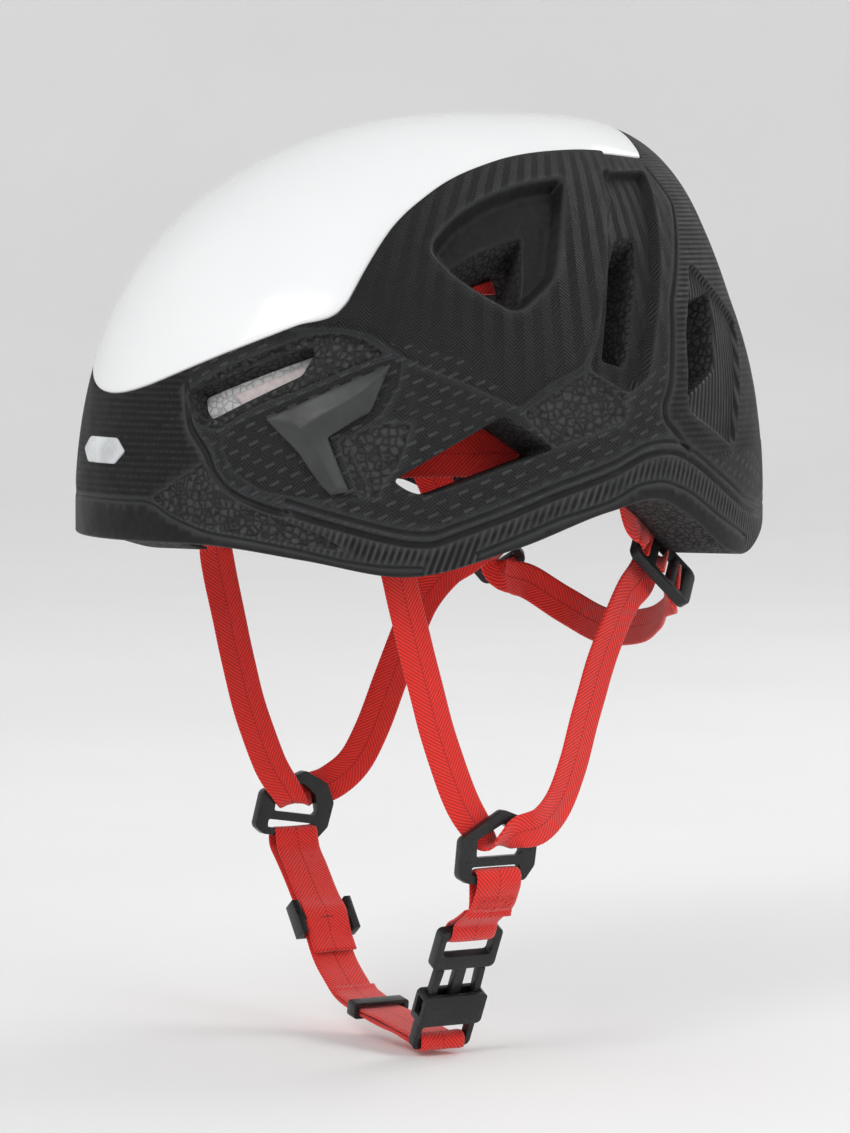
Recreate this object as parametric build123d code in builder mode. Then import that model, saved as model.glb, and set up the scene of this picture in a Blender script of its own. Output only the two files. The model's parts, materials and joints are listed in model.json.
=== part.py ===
from build123d import *
import os
from math import cos, pi, radians, sin

os.makedirs("parts", exist_ok=True)

# A foam climbing helmet, in millimetres. The origin is the middle of the head opening.
# +Z is up, -Y is the front, +X is the wearer's left.

# ---- driving dimensions ----
FRONT_LENGTH = 143.0  # middle of the head opening to the brow
REAR_LENGTH = 144.5  # and to the nape
HALF_WIDTH = 111.0
FOOT_Z = 30.0  # the walls stand upright below this height
CROWN_Z = 181.0
CROWN_SHIFT = 38.0  # how far the crown's middle lies behind the opening's middle
WALL = 26.0  # foam thickness
CAP_SKIN = 1.4  # the hard cap over the crown
SIDE_WEBBING = 15.0
CHIN_WEBBING = 20.0
WEBBING_T = 1.4
GAP = 0.5  # room round webbing in its hardware

# Each outline of the dome is 1 - t^fall to the power 1/round, for t from the foot to the crown.
FRONT_FALL, FRONT_ROUND = 1.7, 3.2
REAR_FALL, REAR_ROUND = 2.0, 2.6
SIDE_FALL, SIDE_ROUND = 2.35, 2.25
SHIFT_POWER = 4.2
PLAN_FRONT, PLAN_REAR = 2.0, 2.1  # superellipse exponents seen from above
SECTION_HEIGHTS = [0, 30, 65, 97, 124, 146, 162, 173, 179.6]
SECTION_POINTS = 16
SIDES = {"left": 1, "right": -1}


def half_axes(z, inset):
    """The dome's front, rear and side half-lengths and its middle's Y at one height."""
    t = min(max((z - FOOT_Z) / (CROWN_Z - inset - FOOT_Z), 0.0), 1.0)
    front = (FRONT_LENGTH - inset) * (1 - t**FRONT_FALL) ** (1 / FRONT_ROUND)
    rear = (REAR_LENGTH - inset) * (1 - t**REAR_FALL) ** (1 / REAR_ROUND)
    side = (HALF_WIDTH - inset) * (1 - t**SIDE_FALL) ** (1 / SIDE_ROUND)
    return front, rear, side, CROWN_SHIFT * t**SHIFT_POWER


def signed_power(value, power):
    return (abs(value) ** power) * (1 if value >= 0 else -1)


def dome_point(angle, z, inset=0.0):
    """A point on the dome, at an angle in degrees from the front towards the wearer's left."""
    front, rear, side, middle = half_axes(z, inset)
    ahead, across = cos(radians(angle)), sin(radians(angle))
    power = 2 / (PLAN_FRONT if ahead > 0 else PLAN_REAR)
    length = front if ahead > 0 else rear
    return Vector(side * signed_power(across, power), middle - length * signed_power(ahead, power), z)


def dome_normal(angle, z):
    """The outward direction of the dome at one of its points."""
    along = dome_point(angle + 0.5, z) - dome_point(angle - 0.5, z)
    rise = dome_point(angle, z + 0.5) - dome_point(angle, z - 0.5)
    return along.cross(rise).normalized()


def dome(inset):
    """A closed solid of the dome, lofted through its horizontal sections."""
    scale = (CROWN_Z - inset - FOOT_Z) / (CROWN_Z - FOOT_Z)
    with BuildPart() as solid:
        for height in SECTION_HEIGHTS:
            z = height - 8 if height < FOOT_Z else FOOT_Z + (height - FOOT_Z) * scale
            ring = [dome_point(360 * n / SECTION_POINTS, z, inset) for n in range(SECTION_POINTS)]
            with BuildSketch(Plane.XY.offset(z)):
                with BuildLine():
                    Spline([(p.X, p.Y) for p in ring], periodic=True)
                make_face()
        loft()
    return solid.part


def side_profile(points, closing):
    """A prism right across the helmet, from a curve in side view and the corners that close it."""
    with BuildPart() as prism:
        with BuildSketch(Plane.YZ):
            with BuildLine():
                edge = Spline(points)
                Polyline(edge @ 1, *closing, edge @ 0)
            make_face()
        extrude(amount=HALF_WIDTH + 20, both=True)
    return prism.part


def vent_prism(corners, side, depth=WALL + 24, proud=12.0, radius=2.5):
    """A prism through the wall, with corners given as angle and height on the dome."""
    middle_angle = sum(a for a, z in corners) / len(corners)
    middle_z = sum(z for a, z in corners) / len(corners)
    centre = dome_point(middle_angle * side, middle_z)
    plane = Plane(origin=centre, x_dir=Vector(0, 1, 0), z_dir=dome_normal(middle_angle * side, middle_z))
    flat = [plane.to_local_coords(dome_point(a * side, z)) for a, z in corners]
    with BuildPart() as prism:
        with BuildSketch(plane.offset(proud)) as outline:
            with BuildLine():
                Polyline([(p.X, p.Y) for p in flat], close=True)
            make_face()
            fillet(outline.vertices(), radius)
        extrude(amount=-(depth + proud))
    return prism.part


def ribbon(points, across, width, thickness):
    """Flat webbing through points, its width lying along each point's direction."""
    with BuildPart() as strip:
        last = len(points) - 1
        for n, (point, direction) in enumerate(zip(points, across)):
            ahead = Vector(*points[min(n + 1, last)]) - Vector(*points[max(n - 1, 0)])
            wide = Vector(*direction)
            wide = wide - ahead.normalized() * wide.dot(ahead.normalized())
            with BuildSketch(Plane(origin=point, x_dir=wide, z_dir=ahead)):
                Rectangle(width, thickness)
        loft(ruled=True)
    return strip.part


def band(inset, thickness, start, end, low, high, steps=16):
    """An upright strip inside the shell, following the dome's plan between two angles."""
    angles = [start + (end - start) * n / steps for n in range(steps + 1)]
    outer = [dome_point(a, FOOT_Z, inset) for a in angles]
    inner = [dome_point(a, FOOT_Z, inset + thickness) for a in angles]
    with BuildPart() as strip:
        with BuildSketch(Plane.XY.offset(low)):
            with BuildLine():
                out_edge = Spline([(p.X, p.Y) for p in outer])
                in_edge = Spline([(p.X, p.Y) for p in inner])
                Line(out_edge @ 0, in_edge @ 0)
                Line(out_edge @ 1, in_edge @ 1)
            make_face()
        extrude(amount=high - low)
    return strip.part


def save(part, name):
    part.label = name
    export_step(part, f"parts/{name}.step")


# ---- the shell's volumes ----
outer_dome = dome(0)
under_cap_dome = dome(CAP_SKIN)
deep_dome = dome(12)
cavity = dome(WALL)

# The rim in side view: brow, low point below the temple, notch over the ear, lobe, nape arch.
RIM = [(-150, 16), (-124, 15.5), (-98, 10.5), (-64, 4), (-22, 13.5), (22, 27), (46, 30.5)]
RIM += [(66, 22), (88, 9), (102, 6.5), (120, 13), (136, 22.5), (150, 25)]
below_rim = side_profile(RIM, [(150, -20), (-150, -20)])

# The cap's lower edge in side view, from the brow over the slot and up past the side vent.
CAP_EDGE = [(-150, 60), (-130, 78.5), (-97, 97.5), (-78, 105.5), (-69, 118), (-57, 132)]
CAP_EDGE += [(-34, 148.5), (-4, 160), (34, 165), (73, 163)]
CAP_REAR = [(80, 182), (80, 200), (-150, 200)]
above_cap_edge = side_profile(CAP_EDGE, CAP_REAR)

# The crown's inner foam reaches lower than the cap, behind the front slots.
INSERT_DROP = 18.0
lower_edge = [(y, z - INSERT_DROP) for y, z in CAP_EDGE]
above_insert_edge = side_profile(lower_edge, [(84, 164), (84, 200), (-150, 200)])

# ---- vents, as angle from the front and height ----
FRONT_SLOT = [(23, 74), (45.8, 92), (46.8, 88), (44.6, 80.5), (29.2, 64), (25.5, 64)]
LOWER_VENT = [(61.8, 40), (79.7, 65), (88.2, 51.5), (81, 46), (67, 34.5)]
UPPER_RECESS = [(64, 125), (68, 139), (74.5, 147.5), (83, 152.5), (94, 155), (91, 114), (82.3, 101.5)]
UPPER_HOLE = [(69.5, 121.5), (74.8, 128.6), (84.7, 134.8), (84.4, 110), (82, 107)]
REAR_SIDE_VENT = [(105.5, 132), (112.3, 132), (102.8, 81.5), (98.4, 85), (103, 121)]
REAR_VENT = [(121.5, 107), (134.3, 111), (127, 80.5), (116, 70)]
REAR_GROOVE = [(96, 81), (101.5, 72), (106, 80), (119, 156), (106, 156)]

# ---- head-fit system sizes ----
BAND_INSET = WALL + 4  # outer face of the headband, measured in from the dome
BAND_LOW, BAND_HIGH = 40.0, 58.0
BAND_T = 1.6
TILT_Y, TILT_Z = -80.0, 49.0  # axis that the fit system swings about
PIN_HEAD_X, PIN_END_X = 50.0, 67.0
CRADLE_Y = 98.2  # head side of the nape cradle
CRADLE_Z = 50.0
RACK_T = 1.2
RACK_Y = {"left": CRADLE_Y + 3.2, "right": CRADLE_Y + 4.8}
RACK_HALF_HEIGHT = 9.0
MODULE = 1.2
PINION_TEETH = 8
PITCH_RADIUS = MODULE * PINION_TEETH / 2
TIP, ROOT = 0.9, 1.3  # tooth height outside and inside the pitch line
RACK_TRAVEL = 8.0
WHEEL_RADIUS = 15.0
SHAFT_RADIUS = 2.0
RUNNING = 0.06

# ---- main_body: black foam shell with its vents ----
STUD_RADIUS = 2.5
CLIP_PEGS = [(46.5, 62), (55, 72)]


def stud(angle, z, radius, start, end):
    """A round peg along the dome's normal, between two depths under its surface."""
    plane = Plane(origin=dome_point(angle, z), z_dir=dome_normal(angle, z))
    with BuildPart() as peg:
        with BuildSketch(plane.offset(-end)):
            Circle(radius)
        extrude(amount=end - start)
    return peg.part


with BuildPart() as inner_crown:
    add(deep_dome)
    add(above_insert_edge, mode=Mode.INTERSECT)

with BuildPart() as main_body:
    add(outer_dome)
    add(cavity, mode=Mode.SUBTRACT)
    add(below_rim, mode=Mode.SUBTRACT)
    add(above_cap_edge, mode=Mode.SUBTRACT)
    add(inner_crown.part, mode=Mode.SUBTRACT)
    for side in SIDES.values():
        for corners in (FRONT_SLOT, LOWER_VENT, UPPER_HOLE, REAR_SIDE_VENT, REAR_VENT):
            add(vent_prism(corners, side), mode=Mode.SUBTRACT)
        add(vent_prism(UPPER_RECESS, side, depth=7, radius=5), mode=Mode.SUBTRACT)
        add(vent_prism(REAR_GROOVE, side, depth=4, radius=4), mode=Mode.SUBTRACT)
        for angle, z in CLIP_PEGS:
            add(stud(angle * side, z, STUD_RADIUS + RUNNING, -10, 9), mode=Mode.SUBTRACT)
    with BuildSketch(Plane.YZ):
        with Locations((TILT_Y, TILT_Z)):
            Circle(STUD_RADIUS)
    extrude(amount=68, both=True, mode=Mode.SUBTRACT)
save(main_body.part, "main_body")

# ---- top_shell: the hard cap; crown_insert: the foam under it ----
with BuildPart() as top_shell:
    add(outer_dome)
    add(under_cap_dome, mode=Mode.SUBTRACT)
    add(above_cap_edge, mode=Mode.INTERSECT)
save(top_shell.part, "top_shell")

with BuildPart() as upper_crown:
    add(under_cap_dome)
    add(above_cap_edge, mode=Mode.INTERSECT)
with BuildPart() as crown_insert:
    add(upper_crown.part)
    add(inner_crown.part)
    add(cavity, mode=Mode.SUBTRACT)
save(crown_insert.part, "crown_insert")

# ---- front_badge: a plain six-sided plate on the brow ----
with BuildPart() as front_badge:
    add(dome(-0.8))
    add(outer_dome, mode=Mode.SUBTRACT)
    with BuildSketch(Plane.XZ):
        with BuildLine():
            Polyline([(-17, 50), (-11, 55), (11, 55), (17, 50), (11, 45), (-11, 45)], close=True)
        make_face()
    extrude(amount=FRONT_LENGTH + 10, mode=Mode.INTERSECT)
save(front_badge.part, "front_badge")

# ---- headlamp clips: chevrons that a lamp's strap slides under ----
CHEVRON = [(40, 63.3), (60.3, 83.8), (57.5, 66.5), (50.8, 56.6), (54.5, 36.7), (51.6, 35.1), (49.8, 38.6)]
CHEVRON_FOOT = [(41, 63.3), (51, 73.5), (48.5, 59), (50.2, 44), (47.5, 48)]
clip_top = dome(-5.4)
clip_gap = dome(-2.4)
for name, side in SIDES.items():
    with BuildPart() as clip:
        add(clip_top)
        add(clip_gap, mode=Mode.SUBTRACT)
        add(vent_prism(CHEVRON, side, depth=5, radius=0.8), mode=Mode.INTERSECT)
    with BuildPart() as foot:
        add(clip_top)
        add(outer_dome, mode=Mode.SUBTRACT)
        add(vent_prism(CHEVRON_FOOT, side, depth=5, radius=0.8), mode=Mode.INTERSECT)
    with BuildPart() as headlamp_clip:
        add(clip.part)
        add(foot.part)
        for angle, z in CLIP_PEGS[:1]:
            add(stud(angle * side, z, STUD_RADIUS, -3, 8.5))
    save(headlamp_clip.part, f"headlamp_clip_{name}")

# ---- interior_label: a blank sticker on the crown foam, seen through the left front slot ----
LABEL = [(32, 77), (43.5, 86.3), (43.5, 82.5), (33.5, 74.8)]
with BuildPart() as interior_label:
    add(dome(11.5))
    add(deep_dome, mode=Mode.SUBTRACT)
    add(vent_prism(LABEL, 1, depth=20, radius=0.6), mode=Mode.INTERSECT)
save(interior_label.part, "interior_label")

# ---- strap_anchors: four plugs in the foam that the webbing is sewn to ----
FRONT_ANCHOR = (63.0, 30.0)  # angle from the front and height on the cavity's wall
REAR_ANCHOR = (113.8, 46.0)
WEBBING_INSET = WALL + 0.4 + WEBBING_T / 2
PLUG_RADIUS = 4.5
PLUG_T = 1.0


def wall_frame(angle, z, inset):
    """A frame on the upright part of the wall, its Z pointing straight out of the helmet."""
    outward = dome_normal(angle, FOOT_Z - 5)
    return Plane(origin=dome_point(angle, z, inset), x_dir=(0, 0, 1), z_dir=outward)


with BuildPart() as strap_anchors:
    for side in SIDES.values():
        for angle, z in (FRONT_ANCHOR, REAR_ANCHOR):
            with BuildSketch(wall_frame(angle * side, z, WALL + 0.9 + WEBBING_T + PLUG_T)):
                Circle(PLUG_RADIUS)
            extrude(amount=PLUG_T)
save(strap_anchors.part, "strap_anchors")

# ---- webbing and its hardware ----
# The chin straps hang in one plane across the helmet. Heights are on the wearer's left.
CHIN_Y = -13.5
DIVIDER_Z = -103.0
DIVIDER_X = 81.5  # middle of the divider's thickness
DIVIDER_T = 4.0
DIVIDER_TILT = {"left": 0, "right": -9}
DIVIDER_OUTLINE = [(-17.5, -10.8), (-16, 4), (2.8, 14.4), (13.9, 10), (18, 2.4), (16.6, -8), (12, -13.6)]
DIVIDER_OUTLINE += [(-12.9, -13.6)]
DIVIDER_WINDOW = [(-9.5, -3.6), (-9, 3.2), (2.6, 9), (8.6, 5), (11, -2), (9.8, -3.6)]
DIVIDER_SLOT = (21.6, 3.4)
DIVIDER_SLOT_Z = -8.9

FRONT_LEG = [(75.2, -52.6, 3), (77, -42.6, -40), (78.3, -32, -74), (78.2, -21, -95)]
REAR_LEG = [(83.9, -8, -98), (84.6, 4, -96.5), (81.5, 15, -88), (79.5, 22.5, -74), (77.5, 30.5, -53)]
REAR_LEG += [(76, 37, -36), (75, 44.5, -20), (71.5, 53.5, -8.5), (65.4, 61, -2.5)]
ANCHOR_STRAP = [(75.6, 51.5, 28), (73.4, 53.5, 21.5), (70.6, 56.5, 17.5)]
NAPE_RIGHT = [(-61.6, 76, -5), (-55, 88, -13), (-40, 95, -23), (-17, 98, -30)]
NAPE_LEFT = [(12, 97, -26), (38, 91, -17.5), (58, 81, -10), (62.5, 75, -6)]


def mirrored(points, side):
    return [(x * side, y, z) for x, y, z in points]


def webbing(points, side, width, thickness, facing, anchor=None):
    """Webbing along points, lying flat against the direction that it faces. Its start may be sewn to the wall."""
    route = [Vector(*p) for p in mirrored(points, side)]
    faces = [Vector(facing[0] * side, facing[1], facing[2])] * len(route)
    if anchor:
        for z in (6.0 if anchor == FRONT_ANCHOR else 33.0, anchor[1] + PLUG_RADIUS):
            wall = wall_frame(anchor[0] * side, z, WEBBING_INSET)
            route.insert(0, wall.origin)
            faces.insert(0, wall.z_dir)
    last = len(route) - 1
    across = []
    for n in range(last + 1):
        ahead = (route[min(n + 1, last)] - route[max(n - 1, 0)]).normalized()
        across.append(tuple(ahead.cross(faces[n])))
    return ribbon([tuple(p) for p in route], across, width, thickness)


# ---- side_strap: from the front anchor through the divider to the rear adjuster ----
for name, side in SIDES.items():
    with BuildPart() as side_strap:
        add(webbing(FRONT_LEG, side, SIDE_WEBBING, WEBBING_T, (1, 0, 0), FRONT_ANCHOR))
        add(webbing([FRONT_LEG[-1], (79.6, -14, -100.6), REAR_LEG[0]], side, 12, WEBBING_T, (0.6, 0, 1)))
        add(webbing(REAR_LEG, side, SIDE_WEBBING, WEBBING_T, (1, 0.2, 0)))
    save(side_strap.part, f"side_strap_{name}")

# ---- anchor_strap: the short rear straps that hold the adjusters ----
for name, side in SIDES.items():
    with BuildPart() as anchor_strap:
        add(webbing(ANCHOR_STRAP, side, SIDE_WEBBING, WEBBING_T, (0.9, 0.35, 0.2), REAR_ANCHOR))
    save(anchor_strap.part, f"anchor_strap_{name}")

# ---- rear_adjuster: ladder locks behind the ears ----
ADJUSTER_AT = (69, 71, 2.5)
ADJUSTER_ALONG = (0.067, 0.712, -0.698)
ADJUSTER_FACE = (0.776, 0.403, 0.486)
ADJUSTER_LENGTH, ADJUSTER_WIDTH, ADJUSTER_T = 33.0, 22.0, 4.0
ADJUSTER_WINDOWS = [(-11.2, 4.2), (-0.6, 9.0), (8.4, 4.2)]
for name, side in SIDES.items():
    along = Vector(ADJUSTER_ALONG[0] * side, *ADJUSTER_ALONG[1:])
    face = Vector(ADJUSTER_FACE[0] * side, *ADJUSTER_FACE[1:])
    frame = Plane(origin=mirrored([ADJUSTER_AT], side)[0], x_dir=along, z_dir=face)
    with BuildPart() as rear_adjuster:
        with BuildSketch(frame):
            RectangleRounded(ADJUSTER_LENGTH, ADJUSTER_WIDTH, 4)
            for middle, length in ADJUSTER_WINDOWS:
                with Locations((middle, 0)):
                    RectangleRounded(length, SIDE_WEBBING + 2 * GAP, 1, mode=Mode.SUBTRACT)
        extrude(amount=ADJUSTER_T / 2, both=True)
        rims = rear_adjuster.faces().sort_by(Axis(frame.origin, frame.z_dir))[-1].outer_wire().edges()
        fillet(rims, 1)
    save(rear_adjuster.part, f"rear_adjuster_{name}")

# ---- nape_strap: from one adjuster round the nape to the other ----
with BuildPart() as nape_strap:
    add(webbing(NAPE_RIGHT + NAPE_LEFT, 1, SIDE_WEBBING, WEBBING_T, (0, 1, -0.3)))
save(nape_strap.part, "nape_strap")

# ---- strap_divider: the flat frames below the ears ----
for name, side in SIDES.items():
    tilt = radians(DIVIDER_TILT[name])
    plane = Plane(origin=((DIVIDER_X - DIVIDER_T / 2) * side, CHIN_Y, DIVIDER_Z),
                  x_dir=(0, cos(tilt), sin(tilt)), z_dir=(1, 0, 0))
    with BuildPart() as strap_divider:
        with BuildSketch(plane) as plate:
            with BuildLine():
                Polyline(DIVIDER_OUTLINE, close=True)
            make_face()
            fillet(plate.vertices(), 3)
        extrude(amount=DIVIDER_T * side)
        with BuildSketch(plane) as window:
            with BuildLine():
                Polyline(DIVIDER_WINDOW, close=True)
            make_face()
            fillet(window.vertices(), 1)
            with Locations((-0.8, DIVIDER_SLOT_Z)):
                RectangleRounded(*DIVIDER_SLOT, 1)
        extrude(amount=DIVIDER_T * side, mode=Mode.SUBTRACT)
    save(strap_divider.part, f"strap_divider_{name}")

# ---- the chin buckle's own frame: its X runs up the strap, its Y is the strap's width ----
BUCKLE_AT = (49.4, CHIN_Y, -163.3)  # middle of the female half's mouth
BUCKLE_UP = (0.46, 0, 0.888)
BUCKLE_OUT = (0.888, 0, -0.46)
buckle = Plane(origin=BUCKLE_AT, x_dir=BUCKLE_UP, z_dir=BUCKLE_OUT)
BUCKLE_WIDTH = 28.0
MALE_T, FEMALE_T = 4.6, 8.0
PRONG_Y = 9.3
PRONG_T = 3.6
HINGE_AT = 11.0


def block(low, high, wide_low, wide_high, thickness, radius=0.0):
    """A flat block in the buckle's frame, centred on its mid-plane."""
    with BuildPart() as solid:
        with BuildSketch(buckle):
            with Locations(((low + high) / 2, (wide_low + wide_high) / 2)):
                if radius:
                    RectangleRounded(high - low, wide_high - wide_low, radius)
                else:
                    Rectangle(high - low, wide_high - wide_low)
        extrude(amount=thickness / 2, both=True)
    return solid.part


# ---- buckle_male: strap loop, base and guide tongue ----
with BuildPart() as buckle_male:
    add(block(11.9, 30, -14, 14, MALE_T, 2.5))
    add(block(18, 26, -10.8, 10.8, MALE_T + 1, 1.2), mode=Mode.SUBTRACT)
    add(block(-8.5, 13, -2.4, 2.4, 3.0))
save(buckle_male.part, "buckle_male")

# ---- buckle prongs: the sprung side arms of the male half ----
for name, side in (("front", 1), ("rear", -1)):  # the frame's Y points to the front
    with BuildPart() as buckle_prong:
        with BuildSketch(buckle):
            with BuildLine():
                Polyline([(11.3, (PRONG_Y - 1.6) * side), (11.3, (PRONG_Y + 1.6) * side), (2, 11.2 * side),
                          (-1.5, 11.7 * side), (-7.5, 11.7 * side), (-9.2, 9.6 * side), (-9.2, 8.4 * side),
                          (-2, 8.6 * side)], close=True)
            make_face()
        extrude(amount=PRONG_T / 2, both=True)
    save(buckle_prong.part, f"buckle_prong_{name}")

# ---- buckle_female: hollow body with side windows and a strap loop ----
with BuildPart() as buckle_female:
    add(block(-14, 0, -BUCKLE_WIDTH / 2, BUCKLE_WIDTH / 2, FEMALE_T, 2))
    add(block(-11, 1, -12.1, 12.1, 4.4), mode=Mode.SUBTRACT)
    add(block(-9.8, -2.2, -15, 15, 4.4), mode=Mode.SUBTRACT)
    add(block(-26, -12, -13, 13, 4, 2.5))
    add(block(-22.5, -15.5, -10.6, 10.6, 5, 1), mode=Mode.SUBTRACT)
save(buckle_female.part, "buckle_female")

# ---- chin_strap_left: a sewn loop from the divider to the male half ----
CHIN_LEFT = [(76.6, -13.5, -104), (76.6, -13.5, -117), (71.5, -13.5, -126), (65.2, -13.5, -134)]
CHIN_LAYERS = 2.9
with BuildPart() as chin_strap_left:
    add(webbing(CHIN_LEFT, 1, CHIN_WEBBING, CHIN_LAYERS, (1, 0, 0)))
save(chin_strap_left.part, "chin_strap_left")

# ---- chin_strap_right: from the divider under the chin to the female half ----
CHIN_RIGHT = [(-76.6, -13.5, -104), (-76.6, -13.5, -117.5), (-66, -13.5, -134), (-46, -13.5, -160.5)]
CHIN_RIGHT += [(-27, -13.5, -175.2), (6, -13.5, -181), (22, -13.5, -181.8), (34, -13.5, -182.2)]
with BuildPart() as chin_strap_right:
    add(webbing(CHIN_RIGHT, 1, CHIN_WEBBING, CHIN_LAYERS, (-0.4, 0, -1)))
save(chin_strap_right.part, "chin_strap_right")


def on_strap(first, second):
    """A frame at the middle of a straight stretch, X along it and Z out of its face."""
    a, b = Vector(*first), Vector(*second)
    ahead = (b - a).normalized()
    return Plane(origin=(a + b) / 2, x_dir=ahead, z_dir=ahead.cross(Vector(0, 1, 0)))


# ---- strap_slider: a three-bar slide on the right chin strap ----
SLIDER_GAP = CHIN_LAYERS / 2 + 0.35
slide_frame = on_strap(CHIN_RIGHT[2], CHIN_RIGHT[3])
with BuildPart() as strap_slider:
    with BuildSketch(slide_frame):
        for across in (-12.2, 12.2):
            with Locations((0, across)):
                Rectangle(15, 3)
    extrude(amount=SLIDER_GAP + 1.6, both=True)
    with BuildSketch(slide_frame.offset(-SLIDER_GAP - 1.6)):
        for along in (-6, 6):
            with Locations((along, 0)):
                Rectangle(3, 25)
    extrude(amount=1.6)
    with BuildSketch(slide_frame.offset(SLIDER_GAP)):
        Rectangle(3.4, 25)
    extrude(amount=1.6)
save(strap_slider.part, "strap_slider")

# ---- strap_keeper: the loop that holds the right chin strap's tail ----
keeper_frame = on_strap(CHIN_RIGHT[4], CHIN_RIGHT[5])
with BuildPart() as strap_keeper:
    with BuildSketch(Plane(origin=keeper_frame.origin, x_dir=(0, 1, 0), z_dir=keeper_frame.x_dir)):
        RectangleRounded(25, 2 * SLIDER_GAP + 3, 1.4)
        Rectangle(21.2, 2 * SLIDER_GAP, mode=Mode.SUBTRACT)
    extrude(amount=3, both=True)
save(strap_keeper.part, "strap_keeper")

# ---- headband: red webbing round the inside of the shell ----
BAND_END = 131.0
with BuildPart() as headband:
    add(band(BAND_INSET, BAND_T, -BAND_END, BAND_END, BAND_LOW, BAND_HIGH, steps=30))
    with BuildSketch(Plane.YZ):
        with Locations((TILT_Y, TILT_Z)):
            Circle(STUD_RADIUS + RUNNING)
    extrude(amount=80, both=True, mode=Mode.SUBTRACT)
save(headband.part, "headband")

# ---- pivot_pins: two pins that the fit system swings on ----
with BuildPart() as pivot_pins:
    for side in SIDES.values():
        head = Plane(origin=(PIN_HEAD_X * side, TILT_Y, TILT_Z), z_dir=(side, 0, 0))
        with BuildSketch(head):
            Circle(STUD_RADIUS)
        extrude(amount=PIN_END_X - PIN_HEAD_X)
        with BuildSketch(head):
            Circle(STUD_RADIUS + 1.5)
        extrude(amount=-1.5)
save(pivot_pins.part, "pivot_pins")

# ---- crown_strap: red webbing over the top of the head ----
with BuildPart() as crown_strap:
    add(dome(WALL + 2))
    add(dome(WALL + 3.6), mode=Mode.SUBTRACT)
    with BuildSketch(Plane.XY.offset(84)):
        with Locations((0, -15)):
            Rectangle(200, 20)
    extrude(amount=100, mode=Mode.INTERSECT)
save(crown_strap.part, "crown_strap")

# ---- pads ----
with BuildPart() as brow_pad:
    add(band(BAND_INSET + BAND_T + 0.4, 5.5, -37, 37, 38, 60))
save(brow_pad.part, "brow_pad")

with BuildPart() as crown_pad:
    add(dome(WALL + 0.6))
    add(dome(WALL + 7), mode=Mode.SUBTRACT)
    with BuildSketch(Plane.XY.offset(100)):
        with Locations((0, 38)):
            RectangleRounded(56, 62, 18)
    extrude(amount=80, mode=Mode.INTERSECT)
save(crown_pad.part, "crown_pad")

with BuildPart() as nape_pad:
    with BuildSketch(Plane(origin=(0, CRADLE_Y - 0.4, CRADLE_Z), x_dir=(1, 0, 0), z_dir=(0, -1, 0))):
        RectangleRounded(56, 22, 8)
    extrude(amount=5)
save(nape_pad.part, "nape_pad")

# ---- nape_cradle, cradle_cover and cradle_screws: the housing of the size wheel ----
HALF_CRADLE = 36.0
CRADLE_HALF_HEIGHT = 12.0
LUG = (24.0, 14.5)
SCREW_RADIUS = 1.5
back = Plane(origin=(0, CRADLE_Y, CRADLE_Z), x_dir=(-1, 0, 0), z_dir=(0, 1, 0))
COVER_Y = 6.4


def cradle_outline():
    """The cradle's outline in its own plane, with two lugs above it."""
    with BuildSketch() as outline:
        RectangleRounded(2 * HALF_CRADLE, 2 * CRADLE_HALF_HEIGHT, 4)
        for x in (-LUG[0], LUG[0]):
            with Locations((x, LUG[1])):
                Circle(4)
    return outline.sketch


with BuildPart() as nape_cradle:
    with BuildSketch(back):
        add(cradle_outline())
        Circle(SHAFT_RADIUS + RUNNING, mode=Mode.SUBTRACT)
        with Locations((-LUG[0], LUG[1]), (LUG[0], LUG[1])):
            Circle(SCREW_RADIUS, mode=Mode.SUBTRACT)
    extrude(amount=COVER_Y - 0.1)
    with BuildSketch(back.offset(2.8)):
        Rectangle(2 * HALF_CRADLE + 4, 2 * (RACK_HALF_HEIGHT + 0.4))
    extrude(amount=10, mode=Mode.SUBTRACT)
save(nape_cradle.part, "nape_cradle")

with BuildPart() as cradle_cover:
    with BuildSketch(back.offset(COVER_Y)):
        add(cradle_outline())
        Circle(SHAFT_RADIUS + RUNNING, mode=Mode.SUBTRACT)
        with Locations((-LUG[0], LUG[1]), (LUG[0], LUG[1])):
            Circle(SCREW_RADIUS + RUNNING, mode=Mode.SUBTRACT)
    extrude(amount=1.8)
save(cradle_cover.part, "cradle_cover")

with BuildPart() as cradle_screws:
    for x in (-LUG[0], LUG[0]):
        with BuildSketch(back.offset(1)):
            with Locations((x, LUG[1])):
                Circle(SCREW_RADIUS)
        extrude(amount=COVER_Y + 0.8)
        with BuildSketch(back.offset(COVER_Y + 1.8)):
            with Locations((x, LUG[1])):
                Circle(2.8)
                Rectangle(3.6, 0.8, mode=Mode.SUBTRACT)
        extrude(amount=1.2)
save(cradle_screws.part, "cradle_screws")


# ---- fit_wheel: knurled wheel, shaft and pinion in one piece ----
def toothed_wheel(radius, count, height, width):
    """A disc with blunt teeth standing out of it."""
    with BuildSketch() as wheel:
        Circle(radius)
        with PolarLocations(radius - 0.2, count, start_angle=90):
            Trapezoid(width, height + 0.2, 76, rotation=-90, align=(Align.CENTER, Align.MIN))
    return wheel.sketch


WHEEL_FACE = COVER_Y + 2.3
with BuildPart() as fit_wheel:
    with BuildSketch(back.offset(0.6)):
        Circle(SHAFT_RADIUS)
    extrude(amount=WHEEL_FACE)
    with BuildSketch(back.offset(3.1)):
        add(toothed_wheel(PITCH_RADIUS - ROOT, PINION_TEETH, TIP + ROOT, 1.9))
    extrude(amount=3.0)
    with BuildSketch(back.offset(WHEEL_FACE)):
        add(toothed_wheel(WHEEL_RADIUS - 0.8, 36, 0.8, 1.4))
    extrude(amount=6.4)
save(fit_wheel.part, "fit_wheel")

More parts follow.
